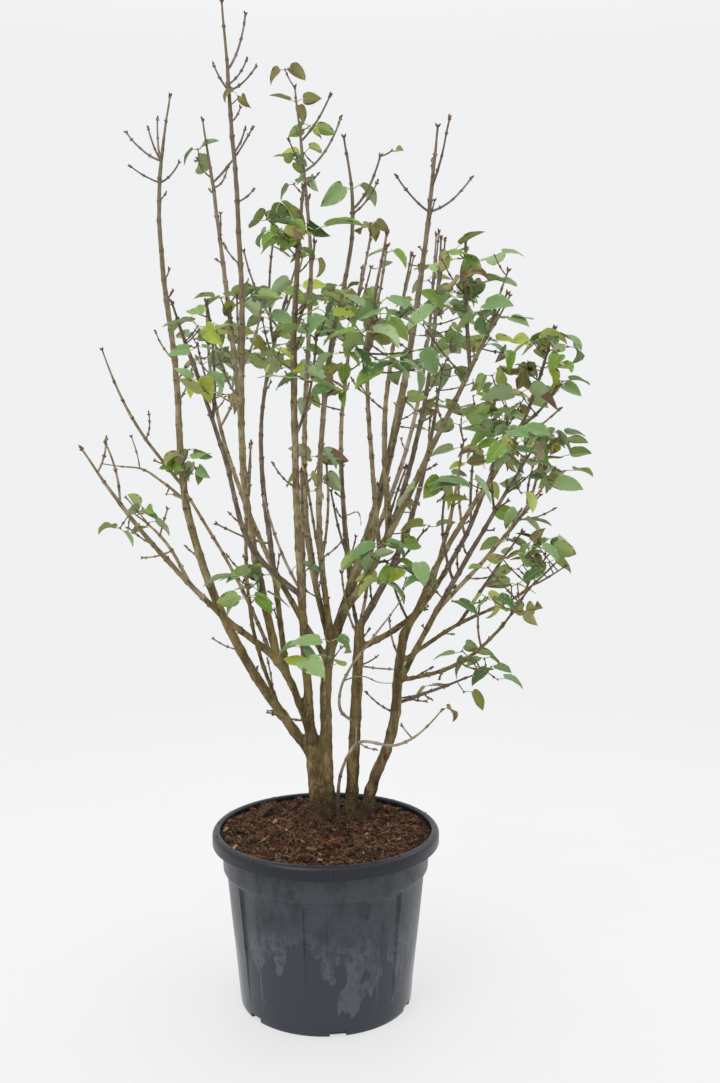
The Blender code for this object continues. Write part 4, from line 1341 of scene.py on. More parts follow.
def leaf_slots(rng, browned):
    """Which faces of a leaf are browned: its tip beyond a ragged line, and bits of its margin."""
    rows, columns = np.indices((LEAF_ROWS - 1, LEAF_COLUMNS - 1))
    start = LEAF_ROWS + 1 if rng.random() > browned else rng.uniform(*BROWN_STARTS)
    ragged = start + rng.uniform(*BROWN_RAGGED, LEAF_COLUMNS - 1)
    edge = (columns == 0) | (columns == LEAF_COLUMNS - 2)
    brown = (rows >= ragged) | (edge & (rng.random(rows.shape) < BROWN_MARGIN * browned))
    tip = np.full(LEAF_COLUMNS - 1, start <= LEAF_ROWS)
    upper, under = np.where(brown, BROWNED, 0).ravel(), np.where(brown, BROWNED, UNDERSIDE).ravel()
    return np.concatenate([upper, under, np.where(tip, BROWNED, 0), np.where(tip, BROWNED, UNDERSIDE)])


def add_leaf(leaves, stalks, node, runs, outward, length, tint, rng):
    """Add one leaf on its stalk."""
    crumpled = rng.random() < TINTS[tint].crumpled
    fold, arch, twist, wave = CRUMPLED_HABIT if crumpled else FLAT_HABIT
    droop = math.radians(np.clip(rng.normal(*LEAF_DROOP), *LEAF_DROOP_LIMITS))
    level = square_to(outward + 0.15 * rng.normal(size=3), UP)
    heading = level * math.cos(droop) - UP * math.sin(droop)
    first = unit(0.8 * runs + outward)
    stalk_length = rng.uniform(*STALK_LENGTHS) * length
    base = node + unit(first + 0.7 * level) * stalk_length
    away = unit(node * (1, 1, 0))
    normal = square_to(UP + 0.45 * away + rng.normal(0.0, LEAF_SWAY, 3), heading)
    shape = LeafShape(
        fold=math.radians(rng.uniform(*fold)),
        arch=math.radians(rng.uniform(*arch)),
        twist=math.radians(rng.normal(0, twist)),
        wave=rng.uniform(*wave),
        phase=rng.random(),
        width=rng.uniform(*LEAF_WIDTHS),
    )
    points, midrib = blade_points(shape)
    local = np.array([heading, np.cross(normal, heading), normal])
    leaves[tint].add(base + points @ local * length, LEAF_FACES, leaf_slots(rng, TINTS[tint].browned))
    t = np.linspace(0.0, STALK_END, STALK_POINTS)[:, None]
    stalk = (1 - t) ** 2 * node + 2 * t * (1 - t) * (node + first * stalk_length * 0.5) + t**2 * base
    line = np.concatenate([stalk, base + midrib @ local * length])
    radii = [np.linspace(*STALK_RADII, STALK_POINTS), np.linspace(*MIDRIB_RADII, len(midrib))]
    add_tube(stalks, line, np.concatenate(radii), STALK_SIDES)


def nearest_host(hosts, target):
    """The stem, and the length along it, that a twig up to the target most likely grows from."""
    offset = target - hosts["path"]
    level = np.linalg.norm(offset[:, :2], axis=1)
    cost = np.linalg.norm(offset, axis=1) + HOST_STEEPNESS * np.abs(offset[:, 2] - level)
    i = int(np.argmin(cost))
    return hosts["stem"][hosts["owner"][i]], hosts["run"][i]


def gather_hosts(stems):
    """Every place where a leafy twig may start: the thinner wood, clear of each stem's foot."""
    hosts = {"stem": list(stems), "path": [], "owner": [], "run": []}
    for number, stem in enumerate(hosts["stem"]):
        keep = (stem.radii < HOST_MOST_RADIUS) & (stem.run > HOST_LEAST_RUN)
        hosts["path"].append(stem.path[keep])
        hosts["owner"].append(np.full(keep.sum(), number))
        hosts["run"].append(stem.run[keep])
    return {key: value if key == "stem" else np.concatenate(value) for key, value in hosts.items()}


def grow_spray(name, spray, hosts, leaves, stalks):
    """Grow one leafy twig from the nearest wood. Returns it, or None where its leaves sit on the wood."""
    rng = seeded(name)
    end = np.array(spray.place) + UP * LEAF_HANG * spray.length
    host, place = nearest_host(hosts, end)
    foot, runs, radius, _, _ = host.at(place)
    pairs = (spray.leaves + 1) // 2
    length = np.linalg.norm(end - foot)
    twig = None
    if length > SHORTEST_TWIG:
        thick = min(TWIG_RADIUS + TWIG_THICKENS * length, TWIG_MOST_RADIUS, MOST_OF_PARENT * radius)
        path = leaving_path(foot, runs, end)
        twig = Stem(name, path, thick, min(TWIG_RADIUS, thick), "tan", TWIG_NODE_GAP)
        host, place = twig, twig.length - 0.001
    gap = min(LEAF_PAIR_GAP, 0.75 * host.length / pairs, max(length, 0.02) * 0.8 / pairs)
    turn = rng.uniform(-LEAF_TURN, LEAF_TURN)
    for number in range(spray.leaves):
        pair, side = divmod(number, 2)
        node, runs, radius, _, _ = host.at(place - pair * gap)
        angle = turn + pair * TURN / 4 + rng.normal(0, LEAF_TURN_SPREAD)
        outward = np.array([math.cos(angle), math.sin(angle), LEAF_RISE]) * (1, -1)[side]
        outward = square_to(outward, runs)
        tint = spray.tint if rng.random() < OWN_TINT_SHARE else rng.choice(TINTS[spray.tint].beside)
        size = LEAF_GROWTH * spray.length * rng.uniform(*LEAF_SIZE_SPREAD) * LEAF_PAIR_SIZES[min(pair, 2)]
        add_leaf(leaves, stalks, node + outward * radius * 0.8, runs, outward, size, tint, rng)
    return twig


def filling_sprays(mass_name, sprays):
    """More of the same leaves all round a mass, so that the crown is full from every side."""
    rng = seeded(mass_name + "_filling")
    low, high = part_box(mass_name)
    middle, reach = np.array((low + high) / 2), np.array((high - low) / 2)
    made = []
    for _ in range(FILLING.get(mass_name, FILLING_USUAL)):
        direction = unit(rng.normal(size=3))
        place = middle + direction * reach * rng.uniform(*FILLING_REACH)
        model = sprays[int(rng.integers(len(sprays)))]
        made.append(Spray(tuple(place), int(rng.integers(*FILLING_LEAVES)), model.length, model.tint))
    return made


# Compost


def soil_height(x, y):
    """How high the compost stands: a low mound round the stems, uneven all over."""
    radius = np.hypot(x, y)
    mound = SOIL_EDGE + (SOIL_MIDDLE - SOIL_EDGE) * (1 - smooth_step(radius, MOUND_RADIUS, SOIL_RADIUS))
    for limb in LIMBS:
        if limb.grows_from is None:
            away = np.hypot(x - limb.foot[0], y - limb.foot[1])
            mound = np.maximum(mound, SOIL_MIDDLE + SOIL_COLLAR_HEIGHT * bell(away, SOIL_COLLAR_WIDTH))
    flat = np.stack([x, y, np.zeros_like(x)], axis=-1)
    lumps = 0.0
    for seed, (size, share) in enumerate(SOIL_LUMP_SIZES, 21):
        lumps = lumps + soft_noise(flat, size, seed) * share
    calmer = 1 - SOIL_CALMER * smooth_step(radius, SOIL_CALM_EDGE * SOIL_RADIUS, SOIL_RADIUS)
    return mound - SOIL_LUMPS + SOIL_LUMPS * lumps * calmer


def build_soil():
    """The body of the compost: an uneven top, and plain sides and foot inside the pot."""
    angles = np.arange(SOIL_SPOKES) * TURN / SOIL_SPOKES
    radii = SOIL_RADIUS * np.linspace(1.0 / SOIL_RINGS, 1.0, SOIL_RINGS) ** SOIL_RING_SPREAD
    top = turned(radii[:, None], 0.0, angles)
    top[..., 2] = soil_height(top[..., 0], top[..., 1])
    foot = FLOOR + SOIL_GAP
    wall = [(COLLAR_RADIUS, POT_HEIGHT - RIM_DEPTH), (COLLAR_RADIUS, COLLAR_FOOT + COLLAR_SLOPE),
            (BODY_RADIUS, COLLAR_FOOT), (BASE_RADIUS, foot)]
    sides = [turned(radius - (WALL + SOIL_GAP), height, angles) for radius, height in wall]
    middle = [(0.0, 0.0, soil_height(np.zeros(1), np.zeros(1))[0]), (0.0, 0.0, foot)]
    piece = Piece("compost_bed")
    points = np.concatenate([top.reshape(-1, 3), *sides, middle])
    piece.add(points, shell_faces(SOIL_RINGS + len(wall), SOIL_SPOKES, True))
    return piece


CHIP_CORNERS = np.array([(x, y, z) for z in (-1, 1) for y in (-1, 1) for x in (-1, 1)], dtype=float)
CHIP_FACES = np.array([(0, 2, 3, 1), (4, 5, 7, 6), (0, 1, 5, 4), (2, 6, 7, 3), (0, 4, 6, 2), (1, 3, 7, 5)])


def turned_axes(rng, tilt):
    """Three axes at right angles: a long one that lies nearly level, one across it, and one nearly up."""
    turn = rng.uniform(0, TURN)
    long = unit(np.array([math.cos(turn), math.sin(turn), rng.normal(0, tilt)]))
    rise = square_to(UP + rng.normal(0, tilt, 3), long)
    return np.array([long, np.cross(rise, long), rise])


def add_chip(piece, place, half, rng, slot, tilt=CHIP_TILT):
    """Add one splinter of bark: a small box with every corner knocked about."""
    corners = CHIP_CORNERS * (1 + rng.uniform(*CHIP_DAMAGE, (8, 3)))
    piece.add(place + (corners * half) @ turned_axes(rng, tilt), CHIP_FACES, slot)


def build_chips():
    """Bark chips strewn on the compost, from dust to splinters, and a few on the pot's rim."""
    piece = Piece("compost_chips")
    rng = seeded("chips")
    radii, angles = (SOIL_RADIUS - CHIP_EDGE) * np.sqrt(rng.random(CHIPS)), rng.uniform(0, TURN, CHIPS)
    x, y = radii * np.cos(angles), radii * np.sin(angles)
    for place in np.column_stack([x, y, soil_height(x, y)]):
        size = CHIP_WIDTH * rng.lognormal(0.0, CHIP_SPREAD)
        half = np.array([size * rng.uniform(*CHIP_LENGTHS), size, size * rng.uniform(*CHIP_HEIGHTS)])
        add_chip(piece, place + 0.5 * size * UP, half, rng, int(rng.choice(5, p=CHIP_KINDS)))
    for _ in range(RIM_CRUMBS):
        angle = rng.uniform(0, TURN)
        radius = RIM_RADIUS - RIM_LIP * rng.uniform(*RIM_CRUMB_PLACES)
        place = turned(radius, POT_HEIGHT + RIM_CRUMB_RISE, angle)
        half = np.array(RIM_CRUMB_SHAPE) * rng.uniform(*RIM_CRUMB_WIDTHS)
        add_chip(piece, place, half, rng, int(rng.choice(3)), RIM_CRUMB_TILT)
    return piece


def build_fibres():
    """Thin curved fibres that lie on the compost, some with an end standing up."""
    piece = Piece("compost_fibres")
    rng = seeded("fibres")
    t = np.linspace(0, 1, FIBRE_POINTS)
    for _ in range(FIBRES):
        radius, angle = (SOIL_RADIUS - FIBRE_EDGE) * math.sqrt(rng.random()), rng.uniform(0, TURN)
        start = np.array([radius * math.cos(angle), radius * math.sin(angle)])
        length, heading = rng.uniform(*FIBRE_LENGTHS), rng.uniform(0, TURN)
        turns = heading + np.cumsum(rng.normal(0, FIBRE_CURL, FIBRE_POINTS))
        run = np.stack([np.cos(turns), np.sin(turns)], axis=-1) * length / (FIBRE_POINTS - 1)
        level = start + np.cumsum(run, axis=0)
        inside = np.minimum(1.0, (SOIL_RADIUS - FIBRE_WALL_GAP) / np.hypot(level[:, 0], level[:, 1]))
        level = level * inside[:, None]
        lift = FIBRE_CLEAR + rng.uniform(0, FIBRE_RISE) * np.sin(math.pi * t)
        path = np.column_stack([level, soil_height(level[:, 0], level[:, 1]) + lift])
        radii = rng.uniform(*FIBRE_RADII) * np.linspace(1.0, FIBRE_TAPER, FIBRE_POINTS)
        add_tube(piece, path, radii, 3, int(rng.choice(3, p=FIBRE_KINDS)))
    return piece


# The pot


def arc(middle, radius, start, end, steps):
    """Points on part of a circle, in radius and height, by angle in degrees from outward."""
    angles = np.radians(np.linspace(start, end, steps))
    return [(middle[0] + radius * math.cos(a), middle[1] + radius * math.sin(a)) for a in angles]


def pot_profile():
    """The pot's section: up inside from its floor's edge, over the rim, and down outside in fine steps."""
    inner_rim, rim_foot = RIM_RADIUS - RIM_LIP, POT_HEIGHT - RIM_DEPTH
    collar_end, step_foot = COLLAR_RADIUS - COLLAR_DRAFT, COLLAR_FOOT - COLLAR_STEP
    inside = [(BASE_RADIUS - WALL, FLOOR), (BODY_RADIUS - WALL, COLLAR_FOOT),
              (COLLAR_RADIUS - WALL, COLLAR_FOOT + COLLAR_SLOPE), (COLLAR_RADIUS - WALL, rim_foot),
              (inner_rim, rim_foot + RIM_UNDERCUT)]
    for middle, corner, *sweep in ((inner_rim + RIM_INNER_CORNER, RIM_INNER_CORNER, 180, 90, 6),
                                   (RIM_RADIUS - RIM_CORNER, RIM_CORNER, 90, 0, 11)):
        inside += arc((middle, POT_HEIGHT - corner), corner, *sweep)
    line = arc((RIM_RADIUS - RIM_FOOT_CORNER, rim_foot + RIM_FOOT_CORNER), RIM_FOOT_CORNER, 0, -90, 4)
    line += [(COLLAR_RADIUS + 0.0035, rim_foot), (COLLAR_RADIUS + 0.0008, rim_foot - 0.0010),
             (collar_end + 0.0004, COLLAR_FOOT + 0.003), (collar_end - 0.001, COLLAR_FOOT),
             (BODY_RADIUS + 0.0010, step_foot + 0.0006), (BODY_RADIUS - 0.0003, step_foot - 0.003),
             (BASE_RADIUS + 0.0010, 0.011), (BASE_RADIUS, 0.0035), (BASE_RADIUS - 0.0012, 0.0010),
             (BASE_RADIUS - 0.0035, 0.0)]
    outside = [line[0]]
    for start, end in zip(line, line[1:]):
        parts = max(1, math.ceil(math.dist(start, end) / POT_STEP))
        outside += [tuple(np.add(start, np.subtract(end, start) * (i + 1) / parts)) for i in range(parts)]
    return np.array(inside + outside)


def channel_depth(angles, heights):
    """How far the wall is pressed in: upright channels that fade out at the foot, with a bead each side."""
    bearing = np.degrees(angles) + 90 - CHANNEL_FIRST
    pitch = 360 / CHANNELS
    off_middle = np.radians((bearing + pitch / 2) % pitch - pitch / 2) * (BASE_RADIUS + BODY_RADIUS) / 2
    across = 1 - smooth_step(np.abs(off_middle), CHANNEL_WIDTH / 2 - CHANNEL_SHOULDER, CHANNEL_WIDTH / 2)
    rise = np.clip((heights - CHANNEL_FOOT) / (COLLAR_FOOT - CHANNEL_FOOT), 0, 1)
    step_foot = COLLAR_FOOT - COLLAR_STEP
    top = 1 - smooth_step(heights, step_foot - 2 * CHANNEL_SHOULDER, step_foot)
    bead = CHANNEL_BEAD * bell(np.abs(off_middle) - CHANNEL_WIDTH / 2, CHANNEL_BEAD_WIDTH)
    return (CHANNEL_DEPTH * across - bead) * np.minimum(rise / CHANNEL_FADE, 1.0) * top


def build_pot():
    """The pot: a turned shell with a rolled rim, and channels pressed into its body."""
    profile = pot_profile()
    widths, heights = profile[:, :1], profile[:, 1:]
    angles = np.arange(POT_SIDES) * TURN / POT_SIDES
    past_rim = (np.arange(len(profile)) > int(np.argmax(widths)))[:, None]
    on_body = past_rim & (heights < COLLAR_FOOT) & (heights > 0.001)
    points = turned(widths - np.where(on_body, channel_depth(angles, heights), 0.0), heights, angles)
    wobble = relief(points, POT_WOBBLE, 31) * smooth_step(heights, 0.0, 0.05)
    points[..., :2] *= 1 + wobble[..., None] / POT_MEAN_RADIUS
    piece = Piece("nursery_pot")
    points = np.concatenate([points.reshape(-1, 3), [(0.0, 0.0, FLOOR), (0.0, 0.0, 0.0)]])
    piece.add(points, shell_faces(len(profile), POT_SIDES, True))
    return piece


def cut_drains(pot):
    """Cut the notches of the drains out of the pot's bottom edge."""
    bm = bmesh.new()
    for number in range(DRAINS):
        turn = Matrix.Rotation(math.radians(DRAIN_FIRST + number * 360 / DRAINS), 4, "Z")
        place = turn @ Matrix.Translation((0.0, -BASE_RADIUS, 0.0))
        size = Matrix.Diagonal((DRAIN_WIDTH, 2 * DRAIN_DEPTH, 2 * DRAIN_HEIGHT, 1.0))
        bmesh.ops.create_cube(bm, size=1.0, matrix=place @ size)
    mesh = bpy.data.meshes.new("drain_cutter")
    bm.to_mesh(mesh)
    bm.free()
    cutter = placed("drain_cutter", mesh)
    modifier = pot.modifiers.new("drains", "BOOLEAN")
    modifier.solver = "EXACT"
    modifier.object = cutter
    bpy.context.view_layer.update()
    cut = bpy.data.meshes.new_from_object(pot.evaluated_get(bpy.context.evaluated_depsgraph_get()))
    pot.modifiers.clear()
    pot.data = cut
    cut.set_sharp_from_angle(angle=math.radians(35))
    bpy.data.objects.remove(cutter)


# Materials


class Finish:
    """One procedural material while its nodes are put together."""

    def __init__(self, name, colour, roughness, specular=0.4):
        self.material = bpy.data.materials.new(name)
        self.material.use_nodes = True
        self.tree = self.material.node_tree
        self.shader = self.tree.nodes["Principled BSDF"]
        self.shader.inputs["Base Color"].default_value = (*colour, 1.0)
        self.shader.inputs["Roughness"].default_value = roughness
        self.shader.inputs["Specular IOR Level"].default_value = specular

    def node(self, kind, inputs=None, **settings):
        """A node with its settings and inputs. An input is a number, a colour or another node's output."""
        made = self.tree.nodes.new("ShaderNode" + kind)
        for key, value in settings.items():
            setattr(made, key, value)
        for key, value in (inputs or {}).items():
            if isinstance(value, bpy.types.NodeSocket):
                self.tree.links.new(value, made.inputs[key])
            else:
                made.inputs[key].default_value = value
        return made

    def place(self, attribute=None):
        """Where a point of the surface is: in the object, or by a mesh attribute."""
        if attribute:
            return self.node("Attribute", attribute_name=attribute).outputs["Vector"]
        return self.node("TexCoord").outputs["Object"]

    def height(self, place):
        """How high a place is."""
        return self.node("SeparateXYZ", {"Vector": place}).outputs["Z"]

    def scaled(self, vector, scale):
        """A place in a pattern that's stretched, by its scale along each axis."""
        return self.node("Mapping", {"Vector": vector, "Scale": scale}).outputs["Vector"]

    def noise(self, vector, scale, detail=2.0, rough=0.5):
        """Noise from 0 to 1. scale counts its waves in each metre."""
        inputs = {"Vector": vector, "Scale": scale, "Detail": detail, "Roughness": rough}
        return self.node("TexNoise", inputs).outputs["Fac"]

    def spread(self, value, low, high, to_low=0.0, to_high=1.0):
        """A value stretched from one range to another, and held inside it."""
        inputs = {"Value": value, "From Min": low, "From Max": high, "To Min": to_low, "To Max": to_high}
        return self.node("MapRange", inputs, clamp=True).outputs["Result"]

    def maths(self, operation, first, second):
        """Two values added, multiplied or compared."""
        return self.node("Math", {0: first, 1: second}, operation=operation).outputs[0]

    def blend(self, share, first, second):
        """One value over another."""
        return self.node("Mix", {0: share, 2: first, 3: second}).outputs[0]

    def mix(self, share, first, second):
        """One colour over another."""
        made = self.node("Mix", data_type="RGBA")
        for socket, value in ((made.inputs[0], share), (made.inputs[6], first), (made.inputs[7], second)):
            if isinstance(value, bpy.types.NodeSocket):
                self.tree.links.new(value, socket)
            else:
                socket.default_value = value if np.isscalar(value) else (*value, 1.0)
        return made.outputs[2]

    def link(self, name, value):
        """Feed one of the shader's own inputs."""
        self.tree.links.new(value, self.shader.inputs[name])

    def roughness(self, value, low, high):
        """Roughness that follows a value, within two limits."""
        self.link("Roughness", self.spread(value, 0.25, 0.75, low, high))

    def bump(self, *layers):
        """Bump from one or more (height from 0 to 1, depth in metres)."""
        normal = None
        for height, depth in layers:
            inputs = {"Height": height, "Distance": depth, "Strength": 1.0}
            if normal is not None:
                inputs["Normal"] = normal
            normal = self.node("Bump", inputs).outputs["Normal"]
        self.link("Normal", normal)


def bark_finish(name, dark, base, pale, old=False):
    """Bark mottled along the limb, with pale specks, and dark near the soil. old is for the bush's foot."""
    finish = Finish(name, base, 0.8, 0.2)
    grain = finish.place("grain")
    height = finish.height(finish.place())
    mottling = finish.noise(finish.scaled(grain, (1.0, 1.0, 0.22)), 230, 9, 0.78)
    patches = finish.noise(finish.scaled(grain, (1.0, 1.0, 0.5)), 75, 4, 0.6)
    fine = finish.noise(grain, 1500, 2)
    colour = finish.mix(finish.spread(mottling, 0.38, 0.56), dark, base)
    colour = finish.mix(finish.spread(patches, 0.47, 0.66, 0.0, 0.85), colour, pale)
    colour = finish.mix(finish.spread(height, *YOUNG_HEIGHTS, 0.0, 0.65), colour, YOUNG_BARK)
    if old:
        colour = old_bark_colour(finish, grain, height, colour, dark)
    soiled = finish.maths("ADD", height, finish.spread(patches, 0.3, 0.7, -0.02, 0.02))
    reach = TRUNK_STAIN_REACH if old else STAIN_REACH
    stain = finish.spread(soiled, SOIL_TOP + reach, SOIL_TOP + reach / 3, 0.0, 0.9)
    colour = finish.mix(stain, colour, SOIL_STAIN)
    specks = finish.node("TexVoronoi", {"Vector": finish.scaled(grain, (1.0, 1.0, 0.55)), "Scale": 300.0})
    speck = finish.spread(specks.outputs["Distance"], 0.24, 0.15, 0.0, 0.6)
    finish.link("Base Color", finish.mix(speck, colour, LENTICEL))
    finish.roughness(patches, 0.66, 0.88)
    finish.bump((mottling, 0.0010), (fine, 0.0002))
    return finish.material


def old_bark_colour(finish, grain, height, colour, dark):
    """Old bark: olive higher up, dark in broad streaks lower down, with algae on it in places."""
    low_down = finish.spread(height, ALGAE_HEIGHTS[1], ALGAE_HEIGHTS[0])
    stretched = finish.scaled(grain, (1.0, 1.0, 0.35))
    olive = finish.spread(finish.noise(stretched, 38, 6, 0.7), 0.36, 0.52, 0.0, 0.75)
    share = finish.maths("MULTIPLY", finish.spread(height, *OLIVE_HEIGHTS), olive)
    colour = finish.mix(share, colour, OLIVE_BARK)
    growth = finish.spread(finish.noise(stretched, 60, 5, 0.7), 0.50, 0.62, 0.0, 0.7)
    colour = finish.mix(finish.maths("MULTIPLY", low_down, growth), colour, ALGAE)
    streaks = finish.noise(finish.scaled(grain, (1.0, 1.0, 0.16)), 46, 7, 0.75)
    return finish.mix(finish.spread(streaks, 0.46, 0.58, 0.0, 0.75), colour, dark)


def leaf_finish(name, colour, roughness=0.46, depth=0.00018):
    """A leaf's skin in one plain colour, with a faint quilted grain and uneven gloss."""
    finish = Finish(name, colour, roughness, 0.38)
    place = finish.place()
    cells = finish.node("TexVoronoi", {"Vector": place, "Scale": 420.0}).outputs["Distance"]
    grain = finish.noise(place, 900, 2)
    finish.roughness(finish.noise(place, 130, 2), roughness - 0.08, roughness + 0.14)
    finish.bump((cells, depth), (grain, depth / 2))
    return finish.material


def twig_finish(name, dark, base):
    """The smooth bark of this year's twigs."""
    finish = Finish(name, base, 0.6, 0.35)
    grain = finish.place("grain")
    streaks = finish.noise(finish.scaled(grain, (1.0, 1.0, 0.2)), 500, 3)
    finish.link("Base Color", finish.mix(finish.spread(streaks, 0.38, 0.62), dark, base))
    finish.bump((streaks, 0.0002))
    return finish.material


def crumb_finish(name, dark, base):
    """Bark, peat and fibre, darker in patches."""
    finish = Finish(name, base, 0.9, 0.25)
    place = finish.place()
    coarse, fine = finish.noise(place, 160, 4, 0.65), finish.noise(place, 900, 3, 0.6)
    finish.link("Base Color", finish.mix(finish.spread(coarse, 0.38, 0.62), dark, base))
    finish.roughness(fine, 0.78, 0.98)
    finish.bump((coarse, 0.0015), (fine, 0.0006))
    return finish.material


def pot_finish():
    """Moulded plastic: slate grey with dried drops on it, dusty on the body, and wet near the foot."""
    finish = Finish("pot_plastic", POT_DARK, 0.3, 0.34)
    place = finish.place()
    height = finish.height(place)
    step_foot, rim_foot = COLLAR_FOOT - COLLAR_STEP, POT_HEIGHT - RIM_DEPTH
    lobes = finish.noise(finish.scaled(place, (-1.0, 1.0, 0.38)), 13, 4, 0.55)
    wet = finish.maths("ADD", lobes, finish.spread(height, 0.30, 0.0, -0.25, 0.22))
    wet = finish.spread(wet, 0.515, 0.530)
    on_body = finish.spread(height, step_foot, step_foot - 0.12)
    on_collar = finish.spread(height, rim_foot, rim_foot - 0.002, 0.0, 0.50)
    dust = finish.spread(finish.noise(finish.scaled(place, (1.0, 1.0, 0.5)), 30, 5, 0.65), 0.30, 0.55)
    dusty = finish.maths("MULTIPLY", finish.maths("MAXIMUM", on_body, on_collar), dust)
    colour = finish.mix(dusty, POT_DARK, POT_DUSTY)
    band = finish.spread(height, 0.08, 0.15, 0.0, 0.85)
    band = finish.maths("MULTIPLY", finish.spread(height, 0.30, 0.24), band)
    blotches = finish.spread(finish.noise(finish.scaled(place, (1.0, 1.0, 0.8)), 70, 7, 0.75), 0.505, 0.535)
    colour = finish.mix(finish.maths("MULTIPLY", band, blotches), colour, POT_WET)
    drops = finish.noise(place, 420, 3, 0.6)
    colour = finish.mix(finish.spread(drops, 0.58, 0.66, 0.0, 0.30), colour, POT_SCUFF)
    finish.link("Base Color", finish.mix(wet, colour, POT_WET))
    rough = finish.blend(on_body, finish.spread(drops, 0.3, 0.7, 0.26, 0.44), 0.29)
    finish.link("Roughness", finish.blend(wet, rough, 0.17))
    finish.bump((drops, 0.00012), (finish.noise(place, 2600, 2), 0.00004))
    return finish.material


# The studio


def build_floor():
    """A plain pale floor that fades out before it could show a horizon."""
    bm = bmesh.new()
    bmesh.ops.create_circle(bm, cap_ends=True, segments=96, radius=FLOOR_REACH)
    mesh = bpy.data.meshes.new("studio_floor")
    bm.to_mesh(mesh)
    bm.free()
    finish = Finish("studio_floor", FLOOR_COLOUR, 0.6, 0.2)
    place = finish.place()
    distance = finish.node("VectorMath", {0: place}, operation="LENGTH").outputs["Value"]
    finish.link("Base Color", finish.mix(finish.noise(place, 3, 2), FLOOR_COLOUR, FLOOR_SHADE))
    finish.link("Alpha", finish.spread(distance, FLOOR_REACH, FLOOR_FADE))
    finish.shader.inputs["Emission Color"].default_value = (1.0, 1.0, 1.0, 1.0)
    finish.shader.inputs["Emission Strength"].default_value = FLOOR_GLOW
    mesh.materials.append(finish.material)
    floor = placed("studio_floor", mesh)


def build_world():
    """A pale world that's brighter overhead."""
    world = bpy.data.worlds.new("studio")
    world.use_nodes = True
    tree = world.node_tree
    background = tree.nodes["Background"]
    background.inputs["Color"].default_value = (*WORLD_COLOUR, 1.0)
    direction = tree.nodes.new("ShaderNodeTexCoord")
    split = tree.nodes.new("ShaderNodeSeparateXYZ")
    rise = tree.nodes.new("ShaderNodeMapRange")
    for number, value in enumerate((*SKY_RISES, WORLD_STRENGTH, SKY_STRENGTH), 1):
        rise.inputs[number].default_value = value
    tree.links.new(direction.outputs["Generated"], split.inputs[0])
    tree.links.new(split.outputs["Z"], rise.inputs[0])
    tree.links.new(rise.outputs[0], background.inputs["Strength"])
    bpy.context.scene.world = world


def build_lights():
    """Two large soft lights, aimed at the plant."""
    for name, place, size, energy in LIGHTS:
        light = bpy.data.lights.new(name, "AREA")
        light.shape = "DISK"
        light.size = size
        light.energy = energy
        lamp = placed(name, light)
        lamp.location = place
        lamp.rotation_euler = (Vector(LIT_POINT) - Vector(place)).to_track_quat("-Z", "Y").to_euler()


def place_camera():
    """The camera as the photo was taken."""
    data = bpy.data.cameras.new("camera")
    data.lens = CAMERA_LENS
    data.sensor_width = CAMERA_SENSOR
    camera = placed("camera", data)
    camera.location = CAMERA_PLACE
    camera.rotation_euler = (CAMERA_PITCH, 0.0, 0.0)
    bpy.context.scene.camera = camera
    bpy.context.scene.view_settings.view_transform = "Standard"


# Putting it together


def grow_wood(stems, shoots, ends, whole, buds):
    """The limbs, shoots and spurs above the fused foot, in a piece for each kind of bark."""
    barks = {kind: Piece("bark_" + kind) for kind in BARKS}
    for stem in [*stems.values(), *shoots.values(), *spur_stems(stems)]:
        if stem.name in whole:
            continue
        sides = next(count for least, count in STEM_SIDES if stem.radii[0] > least)
        add_stem(barks[stem.bark], stem, sides, max(ends.get(stem.name, 0) - TRUNK_OVERLAP, 0))
        add_side_buds(buds, stem)
        add_end_buds(buds, stem)
    return barks


def grow_foliage(hosts, buds):
    """The leaves in a piece for each tint, their stalks, and the twigs that carry them."""
    leaves = {tint: Piece("leaves_" + TINTS[tint].name) for tint in TINTS}
    stalks, twigs = Piece("leaf_stalks"), Piece("leafy_twigs")
    for mass, rows in SPRAYS.items():
        sprays = [Spray(*row) for row in rows]
        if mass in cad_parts:
            sprays += filling_sprays(mass, sprays)
        for number, spray in enumerate(sprays):
            twig = grow_spray(f"{mass}_{number}", spray, hosts, leaves, stalks)
            if twig:
                add_tube(twigs, twig.path, knobbly_radii(twig, TWIG_SIDES), TWIG_SIDES)
                add_side_buds(buds, twig)
                add_end_buds(buds, twig)
    return leaves, stalks, twigs


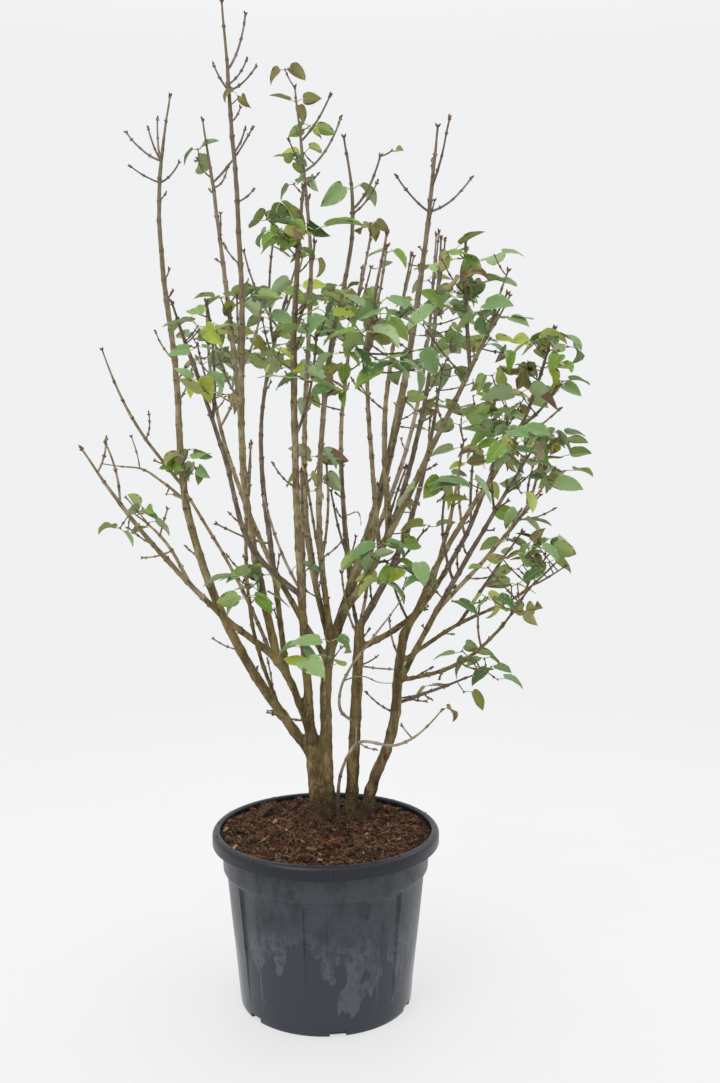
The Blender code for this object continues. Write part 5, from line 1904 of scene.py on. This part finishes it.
def build_wood(trunk, barks, whole):
    """The trunk and the limbs, with leaf scars on the limbs."""
    finish = bark_finish("bark_trunk", *TRUNK_BARK, old=True)
    trunk.build([finish], "bark", whole, grain=True)
    for kind, piece in barks.items():
        nodes = [limb.name for limb in LIMBS if limb.bark == kind and limb.name not in whole]
        dark, base, _ = BARKS[kind]
        scar = bark_finish("scar_" + kind, np.multiply(dark, 0.5), np.multiply(dark, 0.9), base)
        piece.build([bark_finish("bark_" + kind, *BARKS[kind]), scar], "bark", nodes, grain=True)


def build_leaves(leaves, masses):
    """The leaves, each tint with its own upper side and underside."""
    browned = leaf_finish("leaf_browned", BROWN_LEAF, 0.62, 0.0003)
    for tint, piece in leaves.items():
        look = TINTS[tint]
        upper = leaf_finish("leaf_" + look.name, look.upper)
        under = leaf_finish("under_" + look.name, look.under, 0.6)
        piece.build([upper, under, browned], "leaves", masses, sharp=75)


def dress_plant():
    """Everything that grows: bark, buds, twigs and leaves."""
    stems = limb_stems()
    shoots = shoot_stems(stems)
    ends = trunk_ends(stems)
    whole = [name for name in ends if stems[name].path[-1, 2] < TRUNK_TOP]
    masses = [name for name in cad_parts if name.endswith("_leaves")]
    buds = Piece("buds")
    barks = grow_wood(stems, shoots, ends, whole, buds)
    leaves, stalks, twigs = grow_foliage(gather_hosts([*stems.values(), *shoots.values()]), buds)
    build_wood(build_trunk(stems, ends), barks, whole)
    build_leaves(leaves, masses)
    twigs.build([twig_finish("twig_bark", *TWIG_BARK)], "bark", masses, grain=True)
    stalks.build([leaf_finish("leaf_stalk", LEAF_STALK, 0.5)], "leaves", masses)
    buds.build([twig_finish("bud_scales", *BUD_SCALES)], "bark", grain=True)


def dress_pot():
    """The pot and what fills it."""
    pot = build_pot().build([pot_finish()], "pot_plastic", ["pot"])
    cut_drains(pot)
    kinds = [crumb_finish("compost_" + name, dark, base) for name, dark, base in COMPOST_KINDS]
    build_soil().build([kinds[0]], "compost", ["soil"])
    build_chips().build(kinds, "compost", ["soil"], sharp=20)
    build_fibres().build(kinds[1:4], "compost", ["soil"])


build_floor()
build_world()
build_lights()
place_camera()
dress_pot()
dress_plant()
